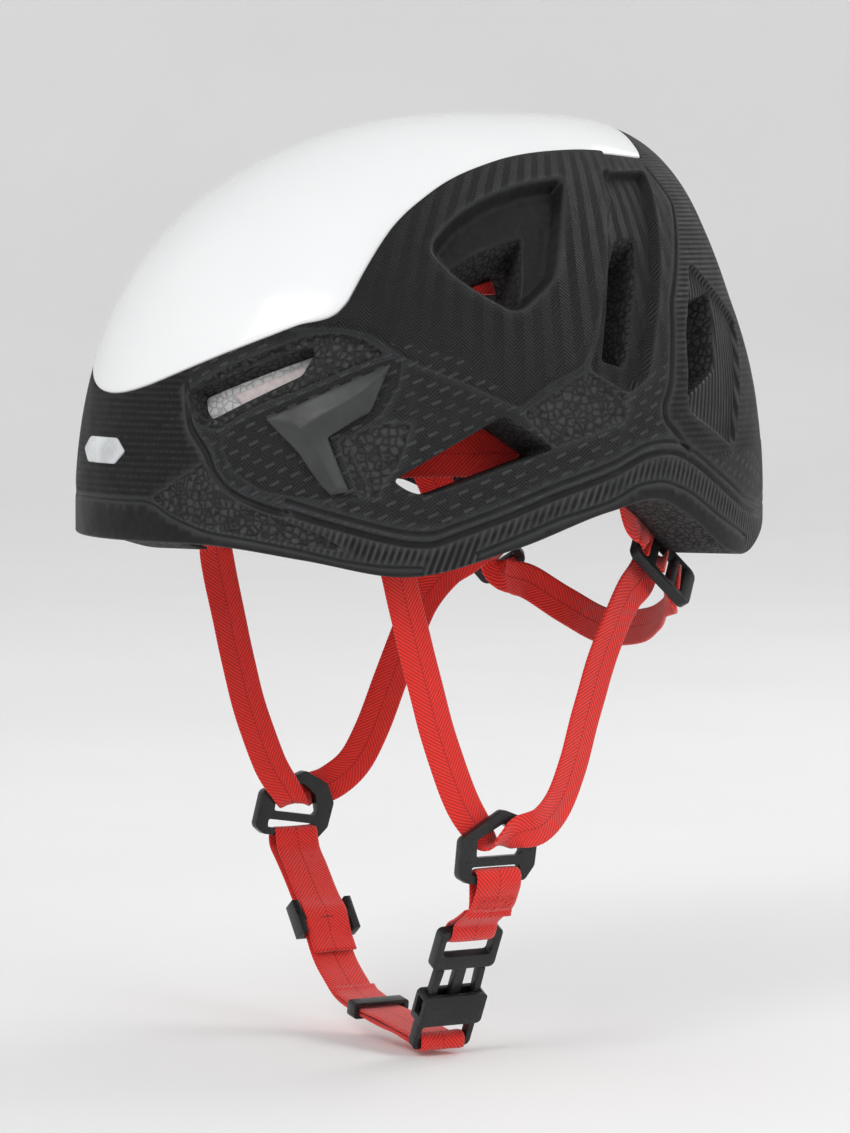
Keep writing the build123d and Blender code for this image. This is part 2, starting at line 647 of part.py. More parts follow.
# ---- rack bands: the toothed ends of the headband, driven by the pinion ----
PITCH = pi * MODULE
SLOT_REACH = 7.0
for name, side in SIDES.items():
    near = Plane(origin=(0, RACK_Y[name], CRADLE_Z), x_dir=(1, 0, 0), z_dir=(0, -1, 0))
    with BuildPart() as rack_band:
        with BuildSketch(near):
            with Locations((12 * side, 0)):
                RectangleRounded(52, 2 * RACK_HALF_HEIGHT, 3)
            with Locations((RACK_TRAVEL / 2 * side, 0)):
                Rectangle(2 * SLOT_REACH + RACK_TRAVEL, 2 * (PITCH_RADIUS + ROOT), mode=Mode.SUBTRACT)
            for n in range(-2, 4):
                with Locations(((n + 0.5) * PITCH * side, (PITCH_RADIUS + ROOT) * side)):
                    Trapezoid(1.8, TIP + ROOT, 78.5, rotation=180 if side > 0 else 0,
                              align=(Align.CENTER, Align.MIN))
        extrude(amount=-RACK_T)
    save(rack_band.part, f"rack_band_{name}")
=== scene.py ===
"""Climbing helmet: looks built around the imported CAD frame. Metres, +Z up, -Y front, +X wearer's left."""
import json
import math

import bmesh
import bpy
import numpy as np
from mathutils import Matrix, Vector, geometry, kdtree


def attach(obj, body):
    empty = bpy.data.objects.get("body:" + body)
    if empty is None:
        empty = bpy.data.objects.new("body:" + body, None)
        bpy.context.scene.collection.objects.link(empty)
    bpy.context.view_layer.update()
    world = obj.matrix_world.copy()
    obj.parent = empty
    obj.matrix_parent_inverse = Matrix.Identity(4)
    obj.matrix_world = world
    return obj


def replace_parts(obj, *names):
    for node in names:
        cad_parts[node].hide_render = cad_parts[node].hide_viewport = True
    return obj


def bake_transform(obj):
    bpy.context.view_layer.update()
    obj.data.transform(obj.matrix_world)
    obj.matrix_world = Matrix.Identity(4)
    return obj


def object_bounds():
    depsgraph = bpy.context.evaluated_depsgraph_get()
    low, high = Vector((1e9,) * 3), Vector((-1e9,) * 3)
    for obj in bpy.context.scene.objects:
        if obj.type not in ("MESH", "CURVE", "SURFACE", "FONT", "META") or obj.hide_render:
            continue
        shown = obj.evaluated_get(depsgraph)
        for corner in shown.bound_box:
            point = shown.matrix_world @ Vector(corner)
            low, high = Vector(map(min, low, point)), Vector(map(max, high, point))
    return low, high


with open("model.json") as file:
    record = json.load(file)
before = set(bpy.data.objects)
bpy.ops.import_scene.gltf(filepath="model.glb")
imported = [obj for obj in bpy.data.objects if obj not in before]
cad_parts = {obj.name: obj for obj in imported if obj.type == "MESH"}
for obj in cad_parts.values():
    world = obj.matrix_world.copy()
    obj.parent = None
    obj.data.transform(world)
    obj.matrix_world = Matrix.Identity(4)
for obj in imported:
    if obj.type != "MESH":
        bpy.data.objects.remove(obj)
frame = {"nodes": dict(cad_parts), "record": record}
CAD_BOUNDS = [list(map(float, corner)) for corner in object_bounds()]
MM = 0.001

# ---- the dome, as in the CAD ----
FRONT_LENGTH, REAR_LENGTH, HALF_WIDTH = 143 * MM, 144.5 * MM, 111 * MM
FOOT_Z, CROWN_Z, CROWN_SHIFT = 30 * MM, 181 * MM, 38 * MM
WALL, CAP_SKIN, INSERT_INSET, INSERT_DROP = 26 * MM, 1.4 * MM, 12 * MM, 18 * MM
FRONT_FALL, FRONT_ROUND = 1.7, 3.2
REAR_FALL, REAR_ROUND = 2.0, 2.6
SIDE_FALL, SIDE_ROUND = 2.35, 2.25
SHIFT_POWER, PLAN_FRONT, PLAN_REAR = 4.2, 2.0, 2.1
RING = 127 * MM  # mean radius, which turns angles into lengths on the unrolled dome
ARC = 144.5 * MM  # the same for the rise over the crown
RIM = [(-150, 16), (-124, 15.5), (-98, 10.5), (-64, 4), (-22, 13.5), (22, 27), (46, 30.5)]
RIM += [(66, 22), (88, 9), (102, 6.5), (120, 13), (136, 22.5), (150, 25)]
CAP_EDGE = [(-150, 60), (-130, 78.5), (-97, 97.5), (-78, 105.5), (-69, 118), (-57, 132)]
CAP_EDGE += [(-34, 148.5), (-4, 160), (34, 165), (73, 163)]
CAP_REAR_Y, CAP_REAR_Z, CAP_REAR_SLOPE = 73 * MM, 163 * MM, 7 / 19


def signed_power(value, power):
    return np.sign(value) * np.abs(value) ** power


def dome(angle, z, inset=0.0):
    """Points on the dome for arrays of angles in radians and heights. Heights are those of the outer dome."""
    t = np.clip((z - FOOT_Z) / (CROWN_Z - FOOT_Z), 0, 1)
    front = (FRONT_LENGTH - inset) * (1 - t**FRONT_FALL) ** (1 / FRONT_ROUND)
    rear = (REAR_LENGTH - inset) * (1 - t**REAR_FALL) ** (1 / REAR_ROUND)
    side = (HALF_WIDTH - inset) * (1 - t**SIDE_FALL) ** (1 / SIDE_ROUND)
    ahead, across = np.cos(angle), np.sin(angle)
    power = 2 / np.where(ahead > 0, PLAN_FRONT, PLAN_REAR)
    x = side * signed_power(across, power)
    y = CROWN_SHIFT * t**SHIFT_POWER - np.where(ahead > 0, front, rear) * signed_power(ahead, power)
    lowered = np.where(z > FOOT_Z, FOOT_Z + (z - FOOT_Z) * (CROWN_Z - inset - FOOT_Z) / (CROWN_Z - FOOT_Z), z)
    return np.stack([x, y, lowered + 0 * x], -1)


def height_of(v):
    """The height at a distance up the unrolled dome from the foot."""
    rise = np.clip(v / ARC, 0, math.pi / 2 - 0.004)
    return np.where(v > 0, FOOT_Z + (CROWN_Z - FOOT_Z) * np.sin(rise), FOOT_Z + v)


def distance_up(z):
    share = np.clip((z - FOOT_Z) / (CROWN_Z - FOOT_Z), 0, 1)
    return np.where(z > FOOT_Z, ARC * np.arcsin(share), z - FOOT_Z)


def unroll(points):
    """Angle in degrees and height in millimetres, to metres on the unrolled dome."""
    a = np.array(points, float)
    return np.stack([np.radians(a[:, 0]) * RING, distance_up(a[:, 1] * MM)], -1)


def lift(flat, raised=0.0, inset=0.0):
    """Unrolled points to the dome, raised along its outward direction."""
    u, v = flat[:, 0], flat[:, 1]
    step = 0.4 * MM
    place = dome(u / RING, height_of(v), inset)
    along = dome((u + step) / RING, height_of(v), inset) - dome((u - step) / RING, height_of(v), inset)
    rise = dome(u / RING, height_of(v + step), inset) - dome(u / RING, height_of(v - step), inset)
    outward = np.cross(along, rise)
    length = np.linalg.norm(outward, axis=1, keepdims=True)
    outward = outward / np.where(length > 0, length, 1)
    return place + outward * np.reshape(raised, (-1, 1))


def smooth_line(points):
    """A function for the curve through points given in millimetres, first coordinate to second."""
    xs = np.array([p[0] for p in points], float) * MM
    ys = np.array([p[1] for p in points], float) * MM
    slopes = np.gradient(ys, xs)

    def value(x):
        x = np.clip(x, xs[0], xs[-1])
        n = np.clip(np.searchsorted(xs, x) - 1, 0, len(xs) - 2)
        width = xs[n + 1] - xs[n]
        t = (x - xs[n]) / width
        first = (2 * t**3 - 3 * t**2 + 1) * ys[n] + (t**3 - 2 * t**2 + t) * width * slopes[n]
        return first + (-2 * t**3 + 3 * t**2) * ys[n + 1] + (t**3 - t**2) * width * slopes[n + 1]

    return value


rim_line, cap_line = smooth_line(RIM), smooth_line(CAP_EDGE)


def rim_height(angle):
    return rim_line(dome(angle, FOOT_Z + 0 * angle)[..., 1])


def cap_height(angle, drop=0.0):
    """The height of the cap's edge at each angle, by halving."""
    low, high = np.full(angle.shape, 40 * MM), np.full(angle.shape, CROWN_Z - 0.2 * MM)
    for _ in range(40):
        middle = (low + high) / 2
        y = dome(angle, middle)[..., 1]
        rear = CAP_REAR_Y + (middle - CAP_REAR_Z) * CAP_REAR_SLOPE
        above = (middle > cap_line(np.minimum(y, CAP_REAR_Y)) - drop) & (y < rear)
        low, high = np.where(above, low, middle), np.where(above, middle, high)
    return high


# ---- unrolled drawing: rounding, offsets and signed distances ----
def rounded(points, radius, closed=True, step=2.0 * MM):
    """Corners rounded, then edges divided into short runs."""
    p = np.asarray(points, float)
    out = []
    n = len(p)
    for i in range(n):
        if not closed and i in (0, n - 1):
            out.append(p[i])
            continue
        a, b, c = p[i - 1], p[i], p[(i + 1) % n]
        back = min(radius, 0.42 * np.linalg.norm(a - b))
        on = min(radius, 0.42 * np.linalg.norm(c - b))
        start = b + (a - b) / np.linalg.norm(a - b) * back
        end = b + (c - b) / np.linalg.norm(c - b) * on
        for t in np.linspace(0, 1, 5):
            out.append((1 - t) ** 2 * start + 2 * t * (1 - t) * b + t * t * end)
    line = np.array(out)
    after = np.roll(line, -1, 0) if closed else line[1:]
    fine = []
    for a, b in zip(line, after):
        parts = max(1, int(np.ceil(np.linalg.norm(b - a) / step)))
        for k in range(parts):
            fine.append(a + (b - a) * k / parts)
    if not closed:
        fine.append(line[-1])
    return np.array(fine)


def turning(line):
    """Positive for a polygon drawn anticlockwise."""
    x, y = line[:, 0], line[:, 1]
    return np.sum(x * np.roll(y, -1) - np.roll(x, -1) * y)


def offset_line(line, distance, closed=True):
    """A parallel line: inwards on a closed line, or to the left along an open one."""
    ahead = np.roll(line, -1, 0) - np.roll(line, 1, 0) if closed else np.gradient(line, axis=0)
    side = np.stack([-ahead[:, 1], ahead[:, 0]], -1)
    side /= np.maximum(np.linalg.norm(side, axis=1, keepdims=True), 1e-9)
    if closed and turning(line) < 0:
        side = -side
    return line + side * distance


def distance_to(points, line, closed=True):
    """Distance from points to a line, positive inside a closed one."""
    a = line if closed else line[:-1]
    b = np.roll(line, -1, 0) if closed else line[1:]
    nearest = np.full(len(points), 1e9)
    inside = np.zeros(len(points), bool)
    for p, q in zip(a, b):
        d = q - p
        t = np.clip(((points - p) @ d) / max(d @ d, 1e-18), 0, 1)
        gap = points - p - t[:, None] * d
        nearest = np.minimum(nearest, np.einsum("ij,ij->i", gap, gap))
        if closed:
            crosses = (p[1] > points[:, 1]) != (q[1] > points[:, 1])
            with np.errstate(divide="ignore", invalid="ignore"):
                at = (q[0] - p[0]) * (points[:, 1] - p[1]) / (q[1] - p[1]) + p[0]
            inside ^= crosses & (points[:, 0] < at)
    nearest = np.sqrt(nearest)
    return np.where(inside, nearest, -nearest) if closed else nearest


def ease(t):
    t = np.clip(t, 0, 1)
    return t * t * (3 - 2 * t)


# ---- the shell's features: angle from the front in degrees, height in millimetres ----
FRONT_SLOT = [(23, 74), (46, 92), (46.8, 89), (45, 80.5), (29, 64), (26.5, 63.5), (24, 68)]
LOWER_VENT = [(61.5, 40.5), (79.7, 65), (88.3, 51.5), (81, 46), (67, 34.5), (64, 36.5)]
UPPER_HOLE = [(69.5, 121.5), (74.8, 128.5), (84.7, 135), (84.5, 117), (84, 108), (82.5, 106.5),
              (75.3, 113.5)]
REAR_SIDE_VENT = [(106, 132), (112, 132), (103, 82), (98.4, 85), (103, 122)]
REAR_VENT = [(121.3, 107), (134.3, 111), (127, 80.5), (115.5, 69)]
SLOT_FACET = [(22.2, 73), (25, 62.5), (27, 60.5), (30, 59), (32, 60.5), (35, 65), (39, 69.5), (45, 74),
              (53, 82)]
SLOT_FACET += [(60, 88), (59, 89.5), (56, 93.5), (51.5, 96), (46.5, 96), (38, 89.5), (29, 82)]
UPPER_RECESS = [(64, 127), (68, 139), (74, 147), (83, 152.5), (94, 155), (90.7, 117), (88.5, 112)]
UPPER_RECESS += [(82.3, 101), (75.4, 109), (70, 116)]
REAR_SIDE_RECESS = [(94.5, 81), (102, 71), (107, 78), (110, 95), (116, 122), (121, 145), (124, 158)]
REAR_SIDE_RECESS += [(105, 157.5), (104, 150), (101, 125), (97.5, 97)]
REAR_PANEL = [(126, 123), (143, 98), (129, 48), (115, 64), (118, 95)]
HEX_FACET = [(82.5, 65.5), (94.5, 81), (102, 71.5), (101, 61.5), (88, 51.5)]
FRONT_FACET = [(28.5, 47.5), (30.5, 42), (33, 36), (36, 32), (40.5, 28), (45, 25), (50, 20.5), (55, 13.5)]
FRONT_FACET += [(46, 16), (38, 19), (29, 22), (22, 26.5), (16.5, 32.5)]
SIDE_UPPER = [(40, 97.6), (51.5, 97.4), (56.8, 94.8), (60.5, 89), (64.5, 84), (72, 77.5), (82, 66.8),
              (87, 75)]
SIDE_UPPER += [(93.8, 82.5), (97, 96.5), (103, 128), (108, 150.5), (111, 177), (40, 177)]
CLIP_PAD = [(33, 61), (45, 72.5), (53, 80.5), (60.3, 86.7), (62.5, 86), (62, 76), (59, 64), (55, 58.5)]
CLIP_PAD += [(53.5, 55.5), (57, 41), (58, 34), (50, 33), (40, 36), (34, 44), (31.5, 54)]
REAR_COLUMN = [(126, 158), (129.5, 145), (116, 107), (111.7, 74.5), (109.5, 67), (109.5, 61), (112, 56),
               (115, 49)]
CHEEK_FACET = [(52.3, 55.5), (56, 59.5), (60.5, 62.5), (64.5, 62), (62.6, 47), (59.6, 38), (59.3, 33.5),
               (56, 34.5)]
CHEEK_FACET += [(54.6, 42)]
REAR_POCKET = [(147, 138), (153, 152), (172, 158), (174, 128), (166, 92), (151, 80), (145, 108)]
REAR_HOLLOW = [(150, 66), (163, 74), (174, 74), (174, 58), (160, 50), (149, 50)]
FRONT_GROOVE = [(22.5, 75.5), (24.5, 60.5), (29, 50), (30, 44.5), (32.5, 38), (35.5, 34), (40.5, 30),
                (44, 28)]
SKIRT_GROOVE = [(44, 29), (49, 25.5), (54.5, 22), (60, 18.5), (64, 16.5), (68, 16), (72, 19.5), (80, 26)]
SKIRT_GROOVE += [(86.5, 32), (91.5, 36), (99, 42), (104, 47.5), (108, 49), (112, 48.5), (116.5, 44)]
SKIRT_GROOVE += [(123.5, 35), (133, 25), (143, 21), (160, 28), (180, 30)]
LIP_TOP = [(75.5, 13), (89, 25), (98, 31), (103, 37), (108.5, 38), (114.5, 33.5), (123, 23), (133.5, 14)]
BRIM_TOP = [(0, 31.5), (16.5, 31.5), (22, 25.5), (29, 20.5), (38, 17.6), (46, 14.4), (53, 10.5), (60, 8),
            (66, 7.6)]

TWILL, PEBBLE, LINES, RIBS, SMOOTH, DASH, INSIDE, CUT = range(8)
# outline, how far it is sunk (negative stands proud), width of its sloping side, corner radius, finish
FACETS = [
    (SLOT_FACET, 2.6, 2.0, 3.0, PEBBLE),
    (UPPER_RECESS, 7.0, 5.0, 7.0, SMOOTH),
    (REAR_SIDE_RECESS, 3.6, 2.6, 4.0, TWILL),
    (REAR_PANEL, 2.0, 2.2, 5.0, RIBS),
    (HEX_FACET, 1.3, 1.6, 2.5, PEBBLE),
    (FRONT_FACET, 1.2, 1.6, 2.5, PEBBLE),
    (SIDE_UPPER, -1.5, 2.2, 3.0, None),
    (CLIP_PAD, -1.2, 1.6, 3.0, None),
    (CHEEK_FACET, 1.1, 1.5, 2.0, PEBBLE),
    (REAR_POCKET, 4.0, 3.4, 5.0, PEBBLE),
    (REAR_HOLLOW, 2.4, 2.2, 3.5, RIBS),
]
GROOVES = [  # line, half width, depth
    (FRONT_GROOVE, 1.9, 1.7),
    (SKIRT_GROOVE, 1.7, 1.5),
    ([(a, z + 4.2) for a, z in SKIRT_GROOVE], 1.3, 1.0),
    (REAR_COLUMN, 1.8, 1.5),
    (LIP_TOP, 1.0, 0.9),
    (BRIM_TOP, 0.9, 0.7),
]
HOLES = [(FRONT_SLOT, 2.0), (LOWER_VENT, 2.5), (UPPER_HOLE, 2.5), (REAR_SIDE_VENT, 2.0), (REAR_VENT, 3.0)]
SOFT_EDGE = 0.9 * MM
HALF_RING = math.pi * RING
GRID = 2.6 * MM

ring_u = np.linspace(0, HALF_RING, 241)
rim_v = distance_up(rim_height(ring_u / RING))
cap_v = distance_up(cap_height(ring_u / RING))
insert_v = distance_up(cap_height(ring_u / RING, INSERT_DROP))
facets = [(rounded(unroll(p), r * MM), sunk * MM, slope * MM) for p, sunk, slope, r, _ in FACETS]
grooves = [(rounded(unroll(p), 4 * MM, closed=False), half * MM, deep * MM) for p, half, deep in GROOVES]
holes = [rounded(unroll(p), r * MM) for p, r in HOLES]


def height_on(flat):
    """How far the shell's surface stands out of the plain dome at each unrolled point."""
    up = np.zeros(len(flat))
    for line, sunk, slope in facets:
        up -= sunk * ease(distance_to(flat, line) / slope)
    for line, half, deep in grooves:
        up -= deep * ease(1 - distance_to(flat, line, closed=False) / half)
    edge = flat[:, 1] - np.interp(flat[:, 0], ring_u, rim_v)
    edge = np.minimum(edge, np.interp(flat[:, 0], ring_u, cap_v) - flat[:, 1])
    for line in holes:
        edge = np.minimum(edge, np.abs(distance_to(flat, line)))
    up -= SOFT_EDGE * np.clip(1 - edge / SOFT_EDGE, 0, 1) ** 2
    return up


def edge_on(flat):
    """1 on each moulded edge, falling to 0 half a millimetre away."""
    near = np.full(len(flat), 1.0)
    for line, *_ in facets:
        near = np.minimum(near, np.abs(distance_to(flat, line)))
    for line, half, _ in grooves:
        near = np.minimum(near, np.abs(distance_to(flat, line, closed=False) - half))
    for line in holes:
        near = np.minimum(near, np.abs(distance_to(flat, line)))
    near = np.minimum(near, flat[:, 1] - np.interp(flat[:, 0], ring_u, rim_v))
    return np.exp(-((near / (0.5 * MM)) ** 2))


# ---- mesh helpers ----
def chain(loops):
    """The points of all the lines, and the edges along each."""
    points, edges = [], []
    for line, closed in loops:
        start = len(points)
        points += list(line)
        edges += [(start + k, start + k + 1) for k in range(len(line) - 1)]
        if closed:
            edges.append((start + len(line) - 1, start))
    return np.array(points), edges


def net_of(points, edges):
    """Triangles between unrolled points, with every edge kept."""
    net = geometry.delaunay_2d_cdt([Vector(p) for p in points * 1000], edges, [], 0, 1e-4)
    flat = np.array([tuple(p) for p in net[0]]) / 1000
    return flat, np.array([f for f in net[2] if len(f) == 3])


def open_edges_of(triangles):
    """Edges used by one triangle only, in its direction."""
    edges = dict.fromkeys((t[k], t[(k + 1) % 3]) for t in triangles for k in range(3))
    return [(p, q) for p, q in edges if (q, p) not in edges]


def new_object(name, data):
    obj = bpy.data.objects.new(name, data)
    bpy.context.scene.collection.objects.link(obj)
    return obj


def make(name, vertices, faces, body, materials, face_slots=None, weave=None, edge=None):
    """A new piece that rides on a body."""
    mesh = bpy.data.meshes.new(name)
    mesh.from_pydata([tuple(map(float, v)) for v in vertices], [], faces)
    for m in materials if isinstance(materials, (list, tuple)) else [materials]:
        mesh.materials.append(m)
    if face_slots is not None:
        mesh.polygons.foreach_set("material_index", np.asarray(face_slots, np.int32))
    if weave is not None:
        layer = mesh.attributes.new("weave", "FLOAT_VECTOR", "POINT")
        layer.data.foreach_set("vector", np.asarray(weave, np.float32).ravel())
    if edge is not None:
        layer = mesh.attributes.new("edge", "FLOAT", "POINT")
        layer.data.foreach_set("value", np.asarray(edge, np.float32))
    mesh.validate()
    mesh.shade_smooth()
    obj = new_object(name, mesh)
    if body:
        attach(obj, body)
    return obj


def face_outwards(obj, merge=0.0):
    bm = bmesh.new()
    bm.from_mesh(obj.data)
    if merge:
        bmesh.ops.remove_doubles(bm, verts=bm.verts, dist=merge)
    bmesh.ops.recalc_face_normals(bm, faces=bm.faces)
    bm.to_mesh(obj.data)
    bm.free()


# ---- the foam shell ----
def even_grid(spacing):
    """A hexagonal grid of points over the unrolled half shell."""
    rows = np.arange(-30 * MM, 205 * MM, spacing * 0.866)
    points = []
    for n, v in enumerate(rows):
        u = np.arange(spacing / 2 + (n % 2) * spacing / 2, HALF_RING - spacing * 0.4, spacing)
        points.append(np.stack([u, np.full(len(u), v)], -1))
    return np.concatenate(points)


def shell_net():
    """Unrolled points and triangles of the half shell, with edges along every feature."""
    borders = [np.stack([ring_u, rim_v], -1), np.stack([ring_u, cap_v], -1)]
    guides = [np.stack([ring_u, rim_v + d * MM], -1) for d in (0.3, 0.9)]
    guides += [np.stack([ring_u, cap_v - d * MM], -1) for d in (0.3, 0.9)]
    guides += [np.stack([ring_u, insert_v + d * MM], -1) for d in (-0.3, 0.3)]
    loops = []
    for line, _, slope in facets:
        loops += [(offset_line(line, d), True) for d in (-0.4 * MM, 0, slope * 0.33, slope * 0.67, slope)]
    for line in holes:
        loops += [(offset_line(line, d), True) for d in (-0.9 * MM, -0.3 * MM, 0)]
    for line, half, _ in grooves:
        loops += [(offset_line(line, d, False), False) for d in (-half, -half / 2, 0, half / 2, half)]
    loops += [(g, False) for g in borders + guides]
    ends = []
    for u in (0.0, HALF_RING):
        low, high = np.interp(u, ring_u, rim_v), np.interp(u, ring_u, cap_v)
        v = np.linspace(low, high, int((high - low) / GRID))
        ends.append((np.stack([np.full(len(v), u), v], -1), False))
    loops += ends
    fixed, edges = chain(loops)
    fixed[:, 0] = np.clip(fixed[:, 0], 0, HALF_RING)
    tree = kdtree.KDTree(len(fixed))
    for n, p in enumerate(fixed):
        tree.insert((p[0], p[1], 0), n)
    tree.balance()
    grid = even_grid(GRID)
    grid = grid[(grid[:, 1] > np.interp(grid[:, 0], ring_u, rim_v) + 1.2 * MM)]
    grid = grid[(grid[:, 1] < np.interp(grid[:, 0], ring_u, cap_v) - 1.2 * MM)]
    free = np.array([p for p in grid if tree.find((p[0], p[1], 0))[2] > 0.5 * GRID])
    flat, triangles = net_of(np.concatenate([fixed, free]), edges)
    middle = flat[triangles].mean(1)
    keep = middle[:, 1] > np.interp(middle[:, 0], ring_u, rim_v)
    keep &= middle[:, 1] < np.interp(middle[:, 0], ring_u, cap_v)
    for line in holes:
        keep &= distance_to(middle, line) < 0
    triangles = triangles[keep]
    used = np.unique(triangles)
    place = np.full(len(flat), -1)
    place[used] = np.arange(len(used))
    return flat[used], place[triangles]


def finish_of(middle):
    """Which finish the mould gave the surface at each unrolled point."""
    angle = middle[:, 0] / RING * 180 / math.pi
    z = height_of(middle[:, 1]) * 1000
    which = np.full(len(middle), TWILL)

    def between(line):
        a = np.array(line, float)
        return np.interp(angle, a[:, 0], a[:, 1])

    groove = np.array(FRONT_GROOVE, float)
    along = np.interp(z, groove[::-1, 1], groove[::-1, 0])
    front = (angle < along) & (z > 28) | (angle < 22.5)
    cheek = ~front & (z < np.interp(angle, [60, 72, 84, 98, 112], [92, 86, 66, 70, 84]))
    which[cheek] = DASH
    skirt = (z < between(SKIRT_GROOVE)) & (angle >= 44) | (z < 28) & (angle < 44)
    which[skirt] = RIBS
    which[front] = LINES
    column = np.interp(z, [45, 61, 74.5, 107, 145, 160], [113, 109.5, 111.7, 116, 129.5, 126])
    which[(angle > column) & (z > 47)] = LINES
    which[(z < between(BRIM_TOP)) & (angle < 66)] = SMOOTH
    which[(z < between(LIP_TOP)) & (angle > 75) & (angle < 134)] = SMOOTH
    for (line, *_), (*_, finish) in zip(facets, FACETS):
        if finish is not None:
            which[distance_to(middle, line) > 0.3 * MM] = finish
    for line, half, _ in grooves:
        which[distance_to(middle, line, closed=False) < half * 0.9] = SMOOTH
    return which


def shell(materials):
    """The whole foam body: outer skin, inner skin and the cut walls between them."""
    flat, triangles = shell_net()
    up = height_on(flat)
    outer = lift(flat, up)
    above = flat[:, 1] > np.interp(flat[:, 0], ring_u, insert_v)
    inner = np.where(above[:, None], lift(flat, 0, INSERT_INSET), lift(flat, 0, WALL))
    seam = np.isclose(flat[:, 0], 0, atol=1e-7) | np.isclose(flat[:, 0], HALF_RING, atol=1e-7)
    outer[seam, 0] = 0
    inner[seam, 0] = 0
    a, b, c = (flat[triangles[:, k]] for k in range(3))
    wrong = (b - a)[:, 0] * (c - a)[:, 1] - (b - a)[:, 1] * (c - a)[:, 0] < 0
    triangles[wrong] = triangles[wrong][:, ::-1]
    open_edges = [(p, q) for p, q in open_edges_of(triangles) if not (seam[p] and seam[q])]
    count = len(flat)
    vertices = [outer, inner]
    weave = [np.column_stack([flat, up]), np.column_stack([flat, np.full(count, -WALL)])]
    edge = edge_on(flat)
    faces = [tuple(t) for t in triangles]
    slots = list(finish_of(flat[triangles].mean(1)))
    faces += [(t[2] + count, t[1] + count, t[0] + count) for t in triangles]
    slots += [INSIDE] * len(triangles)
    spans = 5
    ring = sorted({p for e in open_edges for p in e})
    rows = {p: [p] for p in ring}
    total = 2 * count
    for k in range(1, spans):
        share = k / spans
        index = np.array(ring)
        vertices.append(outer[index] * (1 - share) + inner[index] * share)
        weave.append(np.column_stack([flat[index], np.full(len(ring), -WALL * share)]))
        for n, p in enumerate(ring):
            rows[p].append(total + n)
        total += len(ring)
    for p in ring:
        rows[p].append(p + count)
    for p, q in open_edges:
        for k in range(spans):
            faces.append((rows[q][k], rows[p][k], rows[p][k + 1], rows[q][k + 1]))
            slots.append(CUT)
    vertices = np.concatenate(vertices)
    weave = np.concatenate(weave)
    edge = np.concatenate([edge, np.zeros(total - count)])
    other = vertices * (-1, 1, 1)
    both = faces + [tuple(i + total for i in f[::-1]) for f in faces]
    obj = make("foam_shell", np.concatenate([vertices, other]), both, "helmet", materials,
               slots + slots, np.concatenate([weave, weave * (-1, 1, 1)]), np.concatenate([edge, edge]))
    face_outwards(obj, merge=1e-6)
    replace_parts(obj, "main_body")


def polar_skin(edge_v, outer_inset, outer_raise, inner_inset, name, material, columns=224,
               rings=46):
    """A closed shell over the crown, from an edge up to the pole."""
    angles = np.linspace(0, 2 * math.pi, columns, endpoint=False)
    folded = np.abs((angles + math.pi) % (2 * math.pi) - math.pi) * RING
    start = np.interp(folded, ring_u, edge_v) / ARC
    vertices, weave = [], []

    def ring_at(share, inset, raised):
        rest = (math.pi / 2 - start) * (1 - share) ** 1.7
        v = (math.pi / 2 - np.maximum(rest, 0.005)) * ARC
        row = lift(np.stack([angles * RING, v], -1), raised, inset)
        vertices.append(row)
        weave.append(np.stack([row[:, 0], row[:, 1], np.full(columns, raised)], -1))

    edge = min(0.45 * MM, abs(outer_raise - (outer_inset - inner_inset)) / 3)
    for share, drop in ((0.0, 2.2 * edge), (0.002, 0.7 * edge), (0.006, 0.15 * edge), (0.012, 0.0)):
        ring_at(share, outer_inset, outer_raise - drop)
    for share in np.linspace(0.03, 1, rings):
        ring_at(share, outer_inset, outer_raise)
    for share in np.linspace(1, 0.0, rings // 2):
        ring_at(share, inner_inset, 0)
    total = len(vertices)
    faces = []
    for k in range(total - 1):
        for n in range(columns):
            m = (n + 1) % columns
            faces.append((k * columns + n, k * columns + m, (k + 1) * columns + m, (k + 1) * columns + n))
    for n in range(columns):
        m = (n + 1) % columns
        faces.append(((total - 1) * columns + n, (total - 1) * columns + m, m, n))
    obj = make(name, np.concatenate(vertices), faces, "helmet", material,
               weave=np.concatenate(weave))
    face_outwards(obj)
    return obj


# ---- materials ----
FOAM_SPECULAR = 0.22


